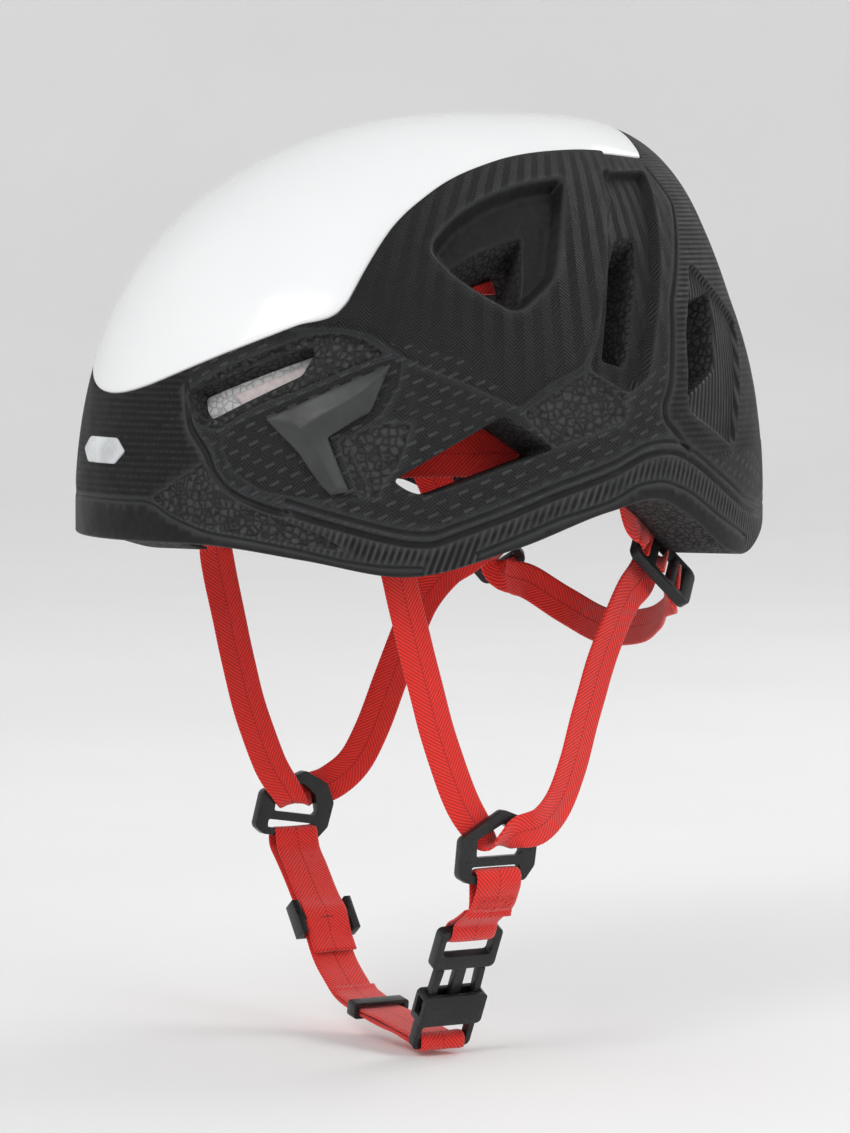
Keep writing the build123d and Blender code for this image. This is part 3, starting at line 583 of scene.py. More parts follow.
class Finish:
    """A Principled material and short ways to add nodes to it."""

    def __init__(self, name, roughness=0.5, **fixed):
        self.material = bpy.data.materials.new(name)
        self.material.use_nodes = True
        self.tree = self.material.node_tree
        self.shader = next(n for n in self.tree.nodes if n.type == "BSDF_PRINCIPLED")
        self.shader.inputs["Roughness"].default_value = roughness
        for socket, value in fixed.items():
            self.shader.inputs[socket.replace("_", " ")].default_value = value

    def node(self, kind, inputs=(), **settings):
        made = self.tree.nodes.new(kind)
        for key, value in settings.items():
            setattr(made, key, value)
        for socket, value in dict(inputs).items():
            if isinstance(value, bpy.types.NodeSocket):
                self.tree.links.new(value, made.inputs[socket])
            else:
                made.inputs[socket].default_value = value
        return made

    def math(self, operation, *values):
        return self.node("ShaderNodeMath", enumerate(values), operation=operation).outputs[0]

    def weave(self):
        """Lengths along and up the surface, in metres."""
        vector = self.node("ShaderNodeAttribute", attribute_name="weave").outputs["Vector"]
        apart = self.node("ShaderNodeSeparateXYZ", {0: vector})
        return vector, apart.outputs[0], apart.outputs[1]

    def place(self):
        return self.node("ShaderNodeTexCoord").outputs["Object"]

    def noise(self, vector, scale, detail=4.0, rough=0.55):
        inputs = {"Vector": vector, "Scale": scale, "Detail": detail, "Roughness": rough}
        made = self.node("ShaderNodeTexNoise", inputs)
        return made.outputs["Fac"]

    def cells(self, vector, scale, feature="F1", randomness=1.0):
        made = self.node("ShaderNodeTexVoronoi", {"Vector": vector, "Scale": scale, "Randomness": randomness},
                         feature=feature)
        return made.outputs["Distance"]

    def scaled(self, vector, factors):
        made = self.node("ShaderNodeVectorMath", {0: vector, 1: factors}, operation="MULTIPLY")
        return made.outputs[0]

    def twill(self, x, y):
        """Ribs that zigzag across the surface."""
        return self.wave(self.math("ADD", y, self.math("PINGPONG", x, 4 * MM)), 1.45 * MM)

    def wave(self, length, pitch):
        """0 to 1 and back, once in each pitch."""
        turn = self.math("MULTIPLY", length, 2 * math.pi / pitch)
        return self.math("MULTIPLY_ADD", self.math("SINE", turn), 0.5, 0.5)

    def turned(self, x, y, degrees):
        a = math.radians(degrees)
        along = self.math("MULTIPLY_ADD", x, math.cos(a), self.math("MULTIPLY", y, math.sin(a)))
        across = self.math("MULTIPLY_ADD", y, math.cos(a), self.math("MULTIPLY", x, -math.sin(a)))
        return along, across

    def span(self, value, low, high, to_low=0.0, to_high=1.0):
        made = self.node("ShaderNodeMapRange", {0: value, 1: low, 2: high, 3: to_low, 4: to_high})
        return made.outputs[0]

    def colours(self, value, *stops):
        ramp = self.node("ShaderNodeValToRGB", {0: value})
        elements = ramp.color_ramp.elements
        while len(elements) < len(stops):
            elements.new(0.5)
        for element, (at, colour) in zip(elements, stops):
            element.position = at
            element.color = (*colour, 1)
        return ramp.outputs[0]

    def blend(self, factor, first, second, mode="MIX"):
        made = self.node("ShaderNodeMix", data_type="RGBA", blend_type=mode)
        for socket, value in ((made.inputs[0], factor), (made.inputs[6], first), (made.inputs[7], second)):
            if isinstance(value, bpy.types.NodeSocket):
                self.tree.links.new(value, socket)
            elif isinstance(value, tuple):
                socket.default_value = (*value, 1)
            else:
                socket.default_value = value
        return made.outputs[2]

    def colour(self, socket):
        self.tree.links.new(socket, self.shader.inputs["Base Color"])

    def rough(self, socket):
        self.tree.links.new(socket, self.shader.inputs["Roughness"])

    def bump(self, height, distance, strength=1.0):
        made = self.node("ShaderNodeBump", {"Height": height, "Distance": distance, "Strength": strength})
        self.tree.links.new(made.outputs[0], self.shader.inputs["Normal"])
        return self.material


def light_edges(f, colour):
    """Moulded edges catch the light as thin paler lines."""
    edge = f.node("ShaderNodeAttribute", attribute_name="edge").outputs["Fac"]
    return f.blend(f.math("MULTIPLY", edge, 0.55), colour, (0.05, 0.052, 0.055))


def grey(value):
    """The foam's near-black, a little cool."""
    return tuple(value * 0.42 * s for s in (0.98, 1.0, 1.03))


def foam_twill():
    f = Finish("foam_twill", 0.6, Specular_IOR_Level=FOAM_SPECULAR)
    vector, x, y = f.weave()
    ribs = f.twill(x, y)
    wear = f.noise(vector, 60)
    shade = f.math("MULTIPLY", ribs, f.span(wear, 0.3, 0.7, 0.55, 1.0))
    f.colour(light_edges(f, f.colours(shade, (0.15, grey(0.012)), (0.95, grey(0.062)))))
    f.rough(f.span(wear, 0.2, 0.8, 0.46, 0.66))
    return f.bump(ribs, 0.35 * MM)


def foam_dash():
    f = Finish("foam_dash", 0.6, Specular_IOR_Level=FOAM_SPECULAR)
    vector, x, y = f.weave()
    along, across = f.turned(x, y, 24)
    row = f.math("FLOOR", f.math("DIVIDE", across, 3.4 * MM))
    shifted = f.math("MULTIPLY_ADD", row, 3.9 * MM, along)
    dash = f.math("MULTIPLY", f.span(f.wave(shifted, 8.6 * MM), 0.5, 0.62),
                  f.span(f.wave(across, 3.4 * MM), 0.62, 0.8))
    ribs = f.twill(x, y)
    wear = f.noise(vector, 70)
    base = f.colours(ribs, (0.1, grey(0.012)), (0.95, grey(0.045)))
    worn = f.math("MULTIPLY", dash, f.span(wear, 0.3, 0.7, 0.35, 1.0))
    f.colour(light_edges(f, f.blend(worn, base, grey(0.125))))
    f.rough(f.span(wear, 0.2, 0.8, 0.46, 0.66))
    return f.bump(f.math("MULTIPLY_ADD", dash, 0.9, f.math("MULTIPLY", ribs, 0.45)), 0.45 * MM)


def foam_pebble():
    f = Finish("foam_pebble", 0.55, Specular_IOR_Level=0.3)
    vector, *_ = f.weave()
    cell = f.cells(vector, 340, "DISTANCE_TO_EDGE", 0.8)
    dome_height = f.span(cell, 0.0, 0.3)
    pits = f.span(f.noise(vector, 420), 0.35, 0.5)
    tone = f.math("MULTIPLY", dome_height, f.span(f.noise(vector, 150), 0.3, 0.7, 0.5, 1.0))
    colour = f.colours(tone, (0.0, grey(0.016)), (0.35, grey(0.055)), (0.95, grey(0.10)))
    f.colour(light_edges(f, f.blend(f.math("SUBTRACT", 1.0, pits), colour, grey(0.012))))
    f.rough(f.span(tone, 0, 1, 0.62, 0.42))
    return f.bump(f.math("ADD", dome_height, f.math("MULTIPLY", pits, 0.2)), 0.45 * MM)


def foam_lines():
    f = Finish("foam_lines", 0.6, Specular_IOR_Level=FOAM_SPECULAR)
    vector, _, y = f.weave()
    lines = f.wave(y, 2.4 * MM)
    ticks = f.noise(f.scaled(vector, (900, 260, 1)), 1.0, 2)
    tone = f.math("MULTIPLY", f.span(lines, 0.45, 0.9), f.span(ticks, 0.35, 0.65))
    f.colour(light_edges(f, f.colours(tone, (0.0, grey(0.011)), (0.9, grey(0.05)))))
    f.rough(f.span(f.noise(vector, 80), 0.2, 0.8, 0.5, 0.7))
    return f.bump(f.math("MULTIPLY_ADD", ticks, 0.5, lines), 0.28 * MM)


def foam_ribs():
    f = Finish("foam_ribs", 0.5, Specular_IOR_Level=FOAM_SPECULAR)
    vector, x, y = f.weave()
    ribs = f.wave(f.math("MULTIPLY_ADD", y, -0.35, x), 2.6 * MM)
    wear = f.noise(vector, 90)
    tone = f.math("MULTIPLY", f.span(ribs, 0.3, 0.9), f.span(wear, 0.25, 0.75, 0.4, 1.0))
    f.colour(light_edges(f, f.colours(tone, (0.0, grey(0.010)), (0.95, grey(0.12)))))
    f.rough(f.span(tone, 0, 1, 0.6, 0.42))
    return f.bump(ribs, 0.5 * MM)


def foam_smooth():
    f = Finish("foam_smooth", 0.5, Specular_IOR_Level=FOAM_SPECULAR)
    vector, *_ = f.weave()
    grain = f.noise(vector, 300)
    f.colour(light_edges(f, f.colours(grain, (0.3, grey(0.016 * 0.6)), (0.7, grey(0.016 * 1.7)))))
    f.rough(f.span(f.noise(vector, 60), 0.2, 0.8, 0.4, 0.62))
    return f.bump(grain, 0.08 * MM)


def foam_beads(name, low, high, scale=290, mix=(1, 1, 1)):
    """Cut or open foam, with its beads showing."""
    f = Finish(name, 0.75, Specular_IOR_Level=FOAM_SPECULAR)
    vector = f.place()
    bead = f.cells(vector, scale, "DISTANCE_TO_EDGE", 0.9)
    tone = f.math("MULTIPLY", f.span(bead, 0, 0.2), f.span(f.noise(vector, 120), 0.3, 0.7, 0.75, 1.0))
    f.colour(f.colours(tone, (0.0, tuple(low * m for m in mix)), (0.7, tuple(high * m for m in mix))))
    f.rough(f.span(tone, 0, 1, 0.9, 0.65))
    return f.bump(f.span(bead, 0, 0.25), 0.35 * MM)


def cap_white():
    f = Finish("cap_white", 0.14, Coat_Weight=0.7, Coat_Roughness=0.06, IOR=1.5)
    vector = f.place()
    cloud = f.noise(vector, 9, 3)
    f.colour(f.colours(cloud, (0.3, (0.84, 0.85, 0.86)), (0.7, (0.89, 0.895, 0.9))))
    f.rough(f.span(f.noise(vector, 40, 5), 0.2, 0.8, 0.11, 0.19))
    return f.bump(f.noise(vector, 260, 2), 0.02 * MM, 0.4)


def plastic(name, colour, roughness=0.36, grain=900, depth=0.03, tint=(0.97, 1.0, 1.02)):
    f = Finish(name, roughness, Specular_IOR_Level=0.3)
    vector = f.place()
    cloud = f.noise(vector, 55)
    f.colour(f.colours(cloud, (0.3, tuple(colour * 0.75 * t for t in tint)),
                       (0.75, tuple(colour * 1.35 * t for t in tint))))
    f.rough(f.span(f.noise(vector, 160), 0.25, 0.75, roughness - 0.07, roughness + 0.09))
    return f.bump(f.noise(vector, grain, 2), depth * MM)


def webbing_red():
    f = Finish("webbing_red", 0.78, Sheen_Weight=0.35, Sheen_Roughness=0.45)
    vector, x, y = f.weave()
    lean = f.math("ABSOLUTE", x)
    ribs = f.wave(f.math("ADD", y, lean), 1.65 * MM)
    threads = f.wave(f.math("SUBTRACT", y, f.math("MULTIPLY", lean, 0.8)), 0.55 * MM)
    middle = f.span(lean, 0.0, 0.45 * MM)
    fuzz = f.noise(f.scaled(vector, (2600, 1400, 1)), 1.0, 3)
    tone = f.math("MULTIPLY", f.math("MULTIPLY_ADD", threads, 0.22, f.math("MULTIPLY", ribs, 0.78)), middle)
    tone = f.math("MULTIPLY", tone, f.span(fuzz, 0.2, 0.7, 0.72, 1.0))
    f.colour(f.colours(tone, (0.0, (0.42, 0.004, 0.003)), (0.45, (0.82, 0.010, 0.005)),
                       (0.95, (0.98, 0.035, 0.012))))
    f.rough(f.span(fuzz, 0.2, 0.8, 0.66, 0.9))
    return f.bump(f.math("MULTIPLY_ADD", fuzz, 0.25, tone), 0.32 * MM)


def thread(name, colour):
    f = Finish(name, 0.6, Sheen_Weight=0.3)
    vector = f.place()
    twist = f.noise(vector, 2400, 2)
    f.colour(f.colours(twist, (0.3, tuple(c * 0.7 for c in colour)), (0.7, colour)))
    return f.bump(twist, 0.06 * MM)


def pad_fabric():
    f = Finish("pad_fabric", 0.9, Sheen_Weight=0.5, Sheen_Roughness=0.5)
    vector = f.place()
    knit = f.cells(vector, 900, "F1", 0.35)
    fuzz = f.noise(vector, 1500, 3)
    tone = f.math("MULTIPLY", f.span(knit, 0.6, 0.1), f.span(fuzz, 0.3, 0.7, 0.6, 1.0))
    f.colour(f.colours(tone, (0.05, (0.010, 0.010, 0.011)), (0.9, (0.05, 0.05, 0.054))))
    f.rough(f.span(fuzz, 0.2, 0.8, 0.82, 0.98))
    return f.bump(tone, 0.25 * MM)


def label_paper():
    f = Finish("label_paper", 0.5)
    vector = f.place()
    fibre = f.noise(vector, 500, 5)
    f.colour(f.colours(fibre, (0.3, (0.56, 0.47, 0.47)), (0.7, (0.68, 0.60, 0.60))))
    f.rough(f.span(fibre, 0.2, 0.8, 0.42, 0.6))
    return f.bump(fibre, 0.03 * MM)


def screw_steel():
    f = Finish("screw_steel", 0.35, Metallic=1.0)
    vector = f.place()
    brushed = f.noise(f.scaled(vector, (300, 300, 3000)), 1.0)
    f.colour(f.colours(brushed, (0.3, (0.32, 0.32, 0.33)), (0.7, (0.5, 0.5, 0.51))))
    f.rough(f.span(brushed, 0.2, 0.8, 0.25, 0.45))
    return f.bump(brushed, 0.01 * MM)


LOOK = {
    "cap_white": cap_white(),
    "eps_grey": foam_beads("eps_grey", 0.42, 0.66, 330),
    "clip_plastic": plastic("clip_plastic", 0.042, 0.42),
    "label_paper": label_paper(),
    "hardware_black": plastic("hardware_black", 0.018, 0.3),
    "webbing_red": webbing_red(),
    "pad_fabric": pad_fabric(),
    "cradle_plastic": plastic("cradle_plastic", 0.028, 0.46, 700, 0.05),
    "wheel_plastic": plastic("wheel_plastic", 0.036, 0.5, 500, 0.07),
    "screw_steel": screw_steel(),
    "badge_white": plastic("badge_white", 0.62, 0.25, 600, 0.02),
    "thread_red": thread("thread_red", (0.75, 0.02, 0.012)),
    "thread_pale": thread("thread_pale", (0.7, 0.62, 0.6)),
}
SHELL_FINISHES = [foam_twill(), foam_pebble(), foam_lines(), foam_ribs(), foam_smooth(), foam_dash()]
SHELL_FINISHES += [foam_beads("foam_inside", 0.010, 0.04), foam_beads("foam_cut", 0.012, 0.045, 330)]

shell(SHELL_FINISHES)
cap = polar_skin(cap_v, 0, 0.3 * MM, CAP_SKIN, "crown_cap", LOOK["cap_white"])
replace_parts(cap, "top_shell")
insert = polar_skin(insert_v, INSERT_INSET + 0.2 * MM, 0, WALL + 0.2 * MM, "crown_foam",
                    LOOK["eps_grey"],
                    columns=160, rings=30)
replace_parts(insert, "crown_insert")


# ---- plates that lie on the dome: clips, badge and label ----
def plate(name, outline, ridges, low, edge_high, ridge_high, inset, round_by, node, slot_name, side=1):
    """A closed plate over part of the dome, highest along its ridges."""
    line = rounded(unroll(outline), round_by, step=0.9 * MM)
    bevel = 0.35 * MM
    loops = [(line, True), (offset_line(line, bevel), True)]
    spine = [rounded(unroll(r), 0.5 * MM, closed=False, step=0.9 * MM) for r in ridges]
    loops += [(s, False) for s in spine]
    fixed, edges = chain(loops)
    low_corner, high_corner = fixed.min(0), fixed.max(0)
    grid = np.array([(u, v) for u in np.arange(low_corner[0], high_corner[0], 1.1 * MM)
                     for v in np.arange(low_corner[1], high_corner[1], 1.1 * MM)])
    clear = np.min(np.linalg.norm(grid[:, None] - fixed[None], axis=2), axis=1) > 0.55 * MM
    grid = grid[clear & (distance_to(grid, line) > bevel)]
    flat, faces = net_of(np.concatenate([fixed, grid]), edges)
    faces = faces[distance_to(flat[faces].mean(1), line) > -1e-6]
    to_edge = np.maximum(distance_to(flat, line), 0)
    if spine:
        to_spine = np.min([distance_to(flat, s, closed=False) for s in spine], axis=0)
        share = to_edge / np.maximum(to_edge + to_spine, 1e-9)
        top = edge_high + (ridge_high - edge_high) * share
    else:
        top = np.full(len(flat), edge_high)
    top = top - bevel * np.clip(1 - to_edge / bevel, 0, 1)
    upper, lower = lift(flat, top, inset), lift(flat, np.full(len(flat), low), inset)
    count = len(flat)
    walls = [(q, p, p + count, q + count) for p, q in open_edges_of(faces)]
    every = [tuple(f) for f in faces] + [tuple(i + count for i in f[::-1]) for f in faces] + walls
    vertices = np.concatenate([upper, lower]) * (side, 1, 1)
    obj = make(name, vertices, every, "helmet", LOOK[slot_name])
    face_outwards(obj, merge=1e-7)
    if node:
        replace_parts(obj, node)


CHEVRON = [(40, 63.3), (60.3, 83.8), (57.5, 66.5), (50.7, 56.6), (54.5, 36.7), (51.6, 35.1), (50.0, 38.6),
           (46, 51)]
CHEVRON_RIDGES = [[(46.3, 59.6), (55.7, 72.7), (59.2, 80.5)], [(46.3, 59.6), (50.2, 47), (52.3, 37.5)]]
CHEVRON_FOOT = [(41.2, 63.2), (50.6, 72.8), (48.3, 59), (49.8, 45.5), (47.3, 48.5)]
for name, side in (("left", 1), ("right", -1)):
    plate(f"clip_wing_{name}", CHEVRON, CHEVRON_RIDGES, 2.4 * MM, 3.5 * MM, 5.9 * MM, 0, 1.0 * MM,
          f"headlamp_clip_{name}", "clip_plastic", side)
    plate(f"clip_foot_{name}", CHEVRON_FOOT, [], -0.5 * MM, 3.0 * MM, 3.0 * MM, 0, 1.0 * MM,
          None, "clip_plastic", side)
plate("front_plate", [(-8.8, 50), (-5.7, 55), (5.7, 55), (8.8, 50), (5.7, 45), (-5.7, 45)],
      [[(-3.5, 50), (3.5, 50)]],
      -0.4 * MM, 0.75 * MM, 1.05 * MM, 0, 1.4 * MM, "front_badge", "badge_white")
plate("inner_label", [(29.5, 75.5), (44, 88), (45, 80), (32, 71)], [], 0.02 * MM, 0.3 * MM, 0.3 * MM,
      INSERT_INSET, 0.8 * MM, "interior_label", "label_paper")


# ---- webbing ----
def smooth_route(points, step):
    """A Catmull-Rom curve through rows of values, in even steps of its first three columns."""
    p = np.asarray(points, float)
    padded = np.concatenate([[2 * p[0] - p[1]], p, [2 * p[-1] - p[-2]]])
    out = []
    for k in range(1, len(p)):
        a, b, c, d = padded[k - 1:k + 3]
        t = np.linspace(0, 1, 24, endpoint=False)[:, None]
        out.append(0.5 * (2 * b + (c - a) * t + (2 * a - 5 * b + 4 * c - d) * t**2
                          + (3 * b - a - 3 * c + d) * t**3))
    fine = np.concatenate([*out, p[-1:]])
    length = np.concatenate([[0], np.cumsum(np.linalg.norm(np.diff(fine[:, :3], axis=0), axis=1))])
    even = np.linspace(0, length[-1], max(4, int(length[-1] / step)))
    return np.stack([np.interp(even, length, fine[:, k]) for k in range(fine.shape[1])], -1), even


def webbing(name, stations, body="helmet", thickness=1.4 * MM, step=1.3 * MM, seed=0):
    """A woven strap. Each station is a point, the way its face looks, and its width, all in millimetres."""
    rows = [(*[c * MM for c in point], *facing, width * MM) for point, facing, width in stations]
    route, along = smooth_route(rows, step)
    centre, face, width = route[:, :3], route[:, 3:6], route[:, 6]
    ahead = np.gradient(centre, axis=0)
    ahead /= np.linalg.norm(ahead, axis=1, keepdims=True)
    across = np.cross(ahead, face)
    across /= np.linalg.norm(across, axis=1, keepdims=True)
    out = np.cross(across, ahead)
    # soft webbing is never quite flat: it bows a little across and lies a little uneven
    ripple = 0.16 * MM * np.sin(along / 0.011 + seed) + 0.1 * MM * np.sin(along / 0.0043 + 2.1 * seed)
    columns = np.array([-1, -0.985, -0.95, -0.87, -0.7, -0.45, -0.2, 0, 0.2, 0.45, 0.7, 0.87, 0.95, 0.985,
                        1])
    rim = np.sqrt(np.clip(1 - (np.abs(columns) - 0.87).clip(0) ** 2 / 0.13**2, 0, 1))
    rim = np.maximum(rim, 0.25)
    hold = np.minimum(1, np.minimum(along, along[-1] - along) / 0.006)[:, None]
    middle = out * (ripple[:, None] * hold)
    vertices, weave = [], []
    for face_side in (1, -1):
        order = columns if face_side > 0 else columns[::-1]
        for c, r in zip(order, rim):
            spot = centre + middle + across * (c * width[:, None] / 2)
            spot = spot + out * (face_side * r * thickness / 2 - 0.22 * MM * (c * c - 0.4) * hold)
            vertices.append(spot)
            weave.append(np.stack([c * width / 2, along, np.zeros(len(along))], -1))
    count, around = len(centre), len(vertices)
    vertices = np.stack(vertices, 1).reshape(-1, 3)
    weave = np.stack(weave, 1).reshape(-1, 3)
    faces = [(k * around + n, k * around + (n + 1) % around, (k + 1) * around + (n + 1) % around,
              (k + 1) * around + n)
             for k in range(count - 1) for n in range(around)]
    faces += [tuple(range(around))[::-1], tuple((count - 1) * around + n for n in range(around))]
    obj = make(name, vertices, faces, body, LOOK["webbing_red"], weave=weave)
    face_outwards(obj)
    return obj


ROW_PITCH, STITCH_PITCH = 1.25, 1.9


def stitches(name, centre, ahead, face, width, rows, look="thread_red", zigzag=0.0):
    """Rows of sewn thread lying on webbing; lengths are in millimetres."""
    centre, ahead, face = Vector(centre) * MM, Vector(ahead).normalized(), Vector(face).normalized()
    across = ahead.cross(face).normalized()
    face = across.cross(ahead).normalized()
    bm = bmesh.new()
    for row in range(rows):
        n = int(width / STITCH_PITCH)
        for k in range(n):
            side = ((k + 0.5) / n - 0.5) * width * MM
            shift = (row - (rows - 1) / 2) * ROW_PITCH * MM
            lean = zigzag * (1 if (k + row) % 2 else -1)
            direction = (across + ahead * lean).normalized()
            half = width / n * 0.42 * MM * (1 + abs(lean))
            base = centre + across * side + ahead * shift
            ring_before = None
            for at, radius in ((-1, 0.04), (-0.75, 0.2), (-0.3, 0.27), (0.3, 0.27), (0.75, 0.2), (1, 0.04)):
                spot = base + direction * (at * half)
                other = direction.cross(face)
                ring = [bm.verts.new(spot + (other * math.cos(t) + face * math.sin(t)) * radius * MM)
                        for t in (0, 1.05, 2.09, 3.14, 4.19, 5.24)]
                if ring_before:
                    for i in range(6):
                        bm.faces.new((ring_before[i], ring_before[(i + 1) % 6], ring[(i + 1) % 6], ring[i]))
                else:
                    bm.faces.new(ring[::-1])
                ring_before = ring
            bm.faces.new(ring_before)
    mesh = bpy.data.meshes.new(name)
    bmesh.ops.recalc_face_normals(bm, faces=bm.faces)
    bm.to_mesh(mesh)
    bm.free()
    mesh.materials.append(LOOK[look])
    mesh.shade_smooth()
    obj = new_object(name, mesh)
    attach(obj, "helmet")


def wall_station(angle, level, z, inner, outer, width):
    """A station on the upright inner wall, facing out of the helmet."""
    a = np.array([math.radians(angle)])
    p, q = (dome(a, np.array([level]), inset)[0] / MM for inset in (inner, outer))
    out = (q - p) / np.linalg.norm(q - p)
    return (p[0], p[1], z), (out[0], out[1], 0), width


def wall_stations(angle, heights):
    return [wall_station(angle, z * MM, z, WALL + 1.1 * MM, WALL - 1 * MM, 15) for z in heights]


def flip(stations, side):
    return [((p[0] * side, p[1], p[2]), (f[0] * side, f[1], f[2]), w) for p, f, w in stations]


# the rear adjusters' own frame, in millimetres
ADJUSTER = np.array((69, 71, 2.5))
ADJUSTER_ALONG = np.array((0.067, 0.712, -0.698))
ADJUSTER_FACE = np.array((0.776, 0.403, 0.486))


def at_adjuster(along, out):
    return tuple(ADJUSTER + ADJUSTER_ALONG * along + ADJUSTER_FACE * out)


OUT = (1, 0, 0)
FRONT_LEG = [((75.2, -52.6, 3), OUT, 15), ((76.4, -46, -25), OUT, 15), ((77.6, -37, -58), OUT, 15)]
FRONT_LEG += [((78.0, -27, -84), OUT, 15), ((78.0, -19.5, -96), (1, 0, 0.1), 13.5),
              ((78.9, -16, -100.6), (0.9, 0, 0.6), 12)]
FRONT_LEG += [((81.2, -13.2, -102.3), (0.1, 0, 1), 11.6), ((83.7, -10.2, -100.6), (-0.8, 0, 0.7), 12)]
FRONT_LEG += [((84.7, -5.0, -97.6), (-1, 0, 0.1), 13), ((84.2, 5, -95.6), (-1, -0.1, 0.1), 15)]
FRONT_LEG += [((81.5, 15, -87.5), (-1, -0.2, 0), 15), ((79.5, 22.5, -74), (-1, -0.2, 0), 15)]
FRONT_LEG += [((77.5, 30.5, -53), (-1, -0.2, 0), 15), ((76, 37, -36), (-1, -0.2, 0), 15)]
FRONT_LEG += [((75, 44.5, -20), (-1, -0.25, 0), 15), ((71.5, 53.5, -8.5), (-1, -0.35, -0.2), 15)]
FRONT_LEG += [((67.6, 61, -3.2), (-0.85, -0.4, -0.4), 15),
              (at_adjuster(-3.4, -5.0), (-0.776, -0.403, -0.486), 15)]
FRONT_LEG += [(at_adjuster(-1.6, -1.0), (-0.2, 0.2, -0.9), 15),
              (at_adjuster(-0.6, 2.2), (0.1, 0.7, -0.6), 15)]
ANCHOR = [((75.6, 51.5, 28), (0.9, 0.35, 0.2), 15), ((74.0, 54.6, 20.5), (0.9, 0.35, 0.2), 15)]
ANCHOR += [(at_adjuster(-19.5, 3.6), (0.8, 0.4, 0.4), 15),
           (at_adjuster(-15.4, 3.4), (0.776, 0.403, 0.486), 15)]
ANCHOR += [(at_adjuster(-11.6, 2.0), (0.5, -0.3, 0.75), 15),
           (at_adjuster(-11.0, -1.2), (0.0, -0.7, 0.7), 15)]
NAPE_END = [((52, 83.5, -13), (0.5, 0.8, 0.0), 15), ((60, 80, -11), (0.7, 0.6, 0.2), 15)]
NAPE_END += [(at_adjuster(13.5, -5.2), (0.776, 0.5, 0.3), 15),
             (at_adjuster(9.0, -2.4), (0.75, 0.1, 0.6), 15)]
NAPE_END += [(at_adjuster(8.2, 1.8), (0.2, -0.6, 0.7), 15)]

for name, side in (("left", 1), ("right", -1)):
    strap = webbing(f"side_webbing_{name}", flip(wall_stations(63, (34, 24, 14, 7)) + FRONT_LEG, side),
                    seed=side)
    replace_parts(strap, f"side_strap_{name}")
    strap = webbing(f"rear_webbing_{name}", flip(wall_stations(113.8, (50, 42, 34.5)) + ANCHOR, side),
                    seed=2 + side)
    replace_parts(strap, f"anchor_strap_{name}")

NAPE = flip(NAPE_END, -1)[::-1] + [((-40, 93.5, -22), (-0.2, 1, -0.3), 15),
                                   ((-17, 98, -29), (-0.1, 1, -0.3), 15)]
NAPE += [((12, 97.5, -27), (0.1, 1, -0.3), 15), ((36, 92, -20), (0.3, 0.9, -0.3), 15)] + NAPE_END
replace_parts(webbing("nape_webbing", NAPE, seed=4), "nape_strap")

# the chin straps, drawn in their plane across the helmet as X and Z, with the way each face looks
CHIN_Y = -13.5


def chin_stations(path, width=20):
    found = []
    for n, (x, z) in enumerate(path):
        a, b = path[max(n - 1, 0)], path[min(n + 1, len(path) - 1)]
        ahead = Vector((b[0] - a[0], 0, b[1] - a[1])).normalized()
        face = ahead.cross(Vector((0, 1, 0)))
        found.append(((x, CHIN_Y, z), tuple(face), width))
    return found


def in_buckle(up, out):
    return (49.4 + 0.46 * up + 0.888 * out, -163.3 + 0.888 * up - 0.46 * out)


LEFT_LOOP = [(76.9, -131), (78.1, -124.5), (78.4, -119), (78.4, -114.5), (79.6, -112.3), (81.6, -111.7),
             (83.6, -112.4)]
LEFT_LOOP += [(84.8, -114.8), (84.2, -118.5), (82.6, -121.5), (79.8, -126), (75.6, -129.4),
              in_buckle(34, 3.0)]
LEFT_LOOP += [in_buckle(30.5, 3.3), in_buckle(27.2, 3.1), in_buckle(25.0, 1.2), in_buckle(24.8, -1.2)]
LEFT_LOOP += [in_buckle(27.2, -3.1), in_buckle(31, -2.6), in_buckle(35, 0.6), (74.4, -128.4)]
RIGHT_LOOP = [(-45.4, -159.6), (-49.6, -153.7), (-52.0, -148.6), (-54.6, -143.6), (-60.4, -139.0),
              (-70, -128.6), (-76.6, -122), (-78.4, -117.5), (-79.3, -113.6), (-81.5, -112.7),
              (-83.7, -113.6)]
RIGHT_LOOP += [(-84.6, -116.5), (-83.4, -120.6), (-78.4, -125.5), (-68.2, -136.2), (-57.0, -148.3),
               (-47.4, -161.4)]
RIGHT_LOOP += [(-38, -169.6), (-27.4, -176.2), (-10, -180.0), (6, -182.0), (20, -183.4), (30, -185.2)]
RIGHT_LOOP += [in_buckle(-26.0, 2.6), in_buckle(-23.4, 3.3), in_buckle(-21.0, 2.0),
               in_buckle(-20.6, -0.6), in_buckle(-22.2, -2.8)]
RIGHT_LOOP += [in_buckle(-25.0, -3.6), (28, -182.6), (20, -181.6), (6, -180.0), (-10, -178.2),
               (-26.8, -174.4), (-30.6, -172.2)]

left_loop = webbing("chin_webbing_left", chin_stations(LEFT_LOOP, 19.6), body=None, thickness=1.3 * MM,
                    step=1.0 * MM, seed=5)
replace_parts(left_loop, "chin_strap_left")
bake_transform(left_loop)
right_loop = webbing("chin_webbing_right", chin_stations(RIGHT_LOOP, 19.6), thickness=1.3 * MM, seed=6)
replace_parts(right_loop, "chin_strap_right")

stitches("tack_left", (81.6, CHIN_Y, -125.0), (-0.55, 0, -0.83), (0.83, 0, -0.55), 16, 5, zigzag=0.5)
stitches("tack_right", (-80.6, CHIN_Y, -124.4), (0.62, 0, -0.78), (-0.78, 0, -0.62), 16, 5, zigzag=0.5)
stitches("tack_female", (17, CHIN_Y, -184.0), (1, 0, -0.14), (-0.1, 0, -1), 16, 4, zigzag=0.5)
stitches("nape_seam", (-50, 90.6, -17.6), (0.7, 0.5, -0.5), (-0.5, 0.85, -0.1), 13, 1, look="thread_pale")

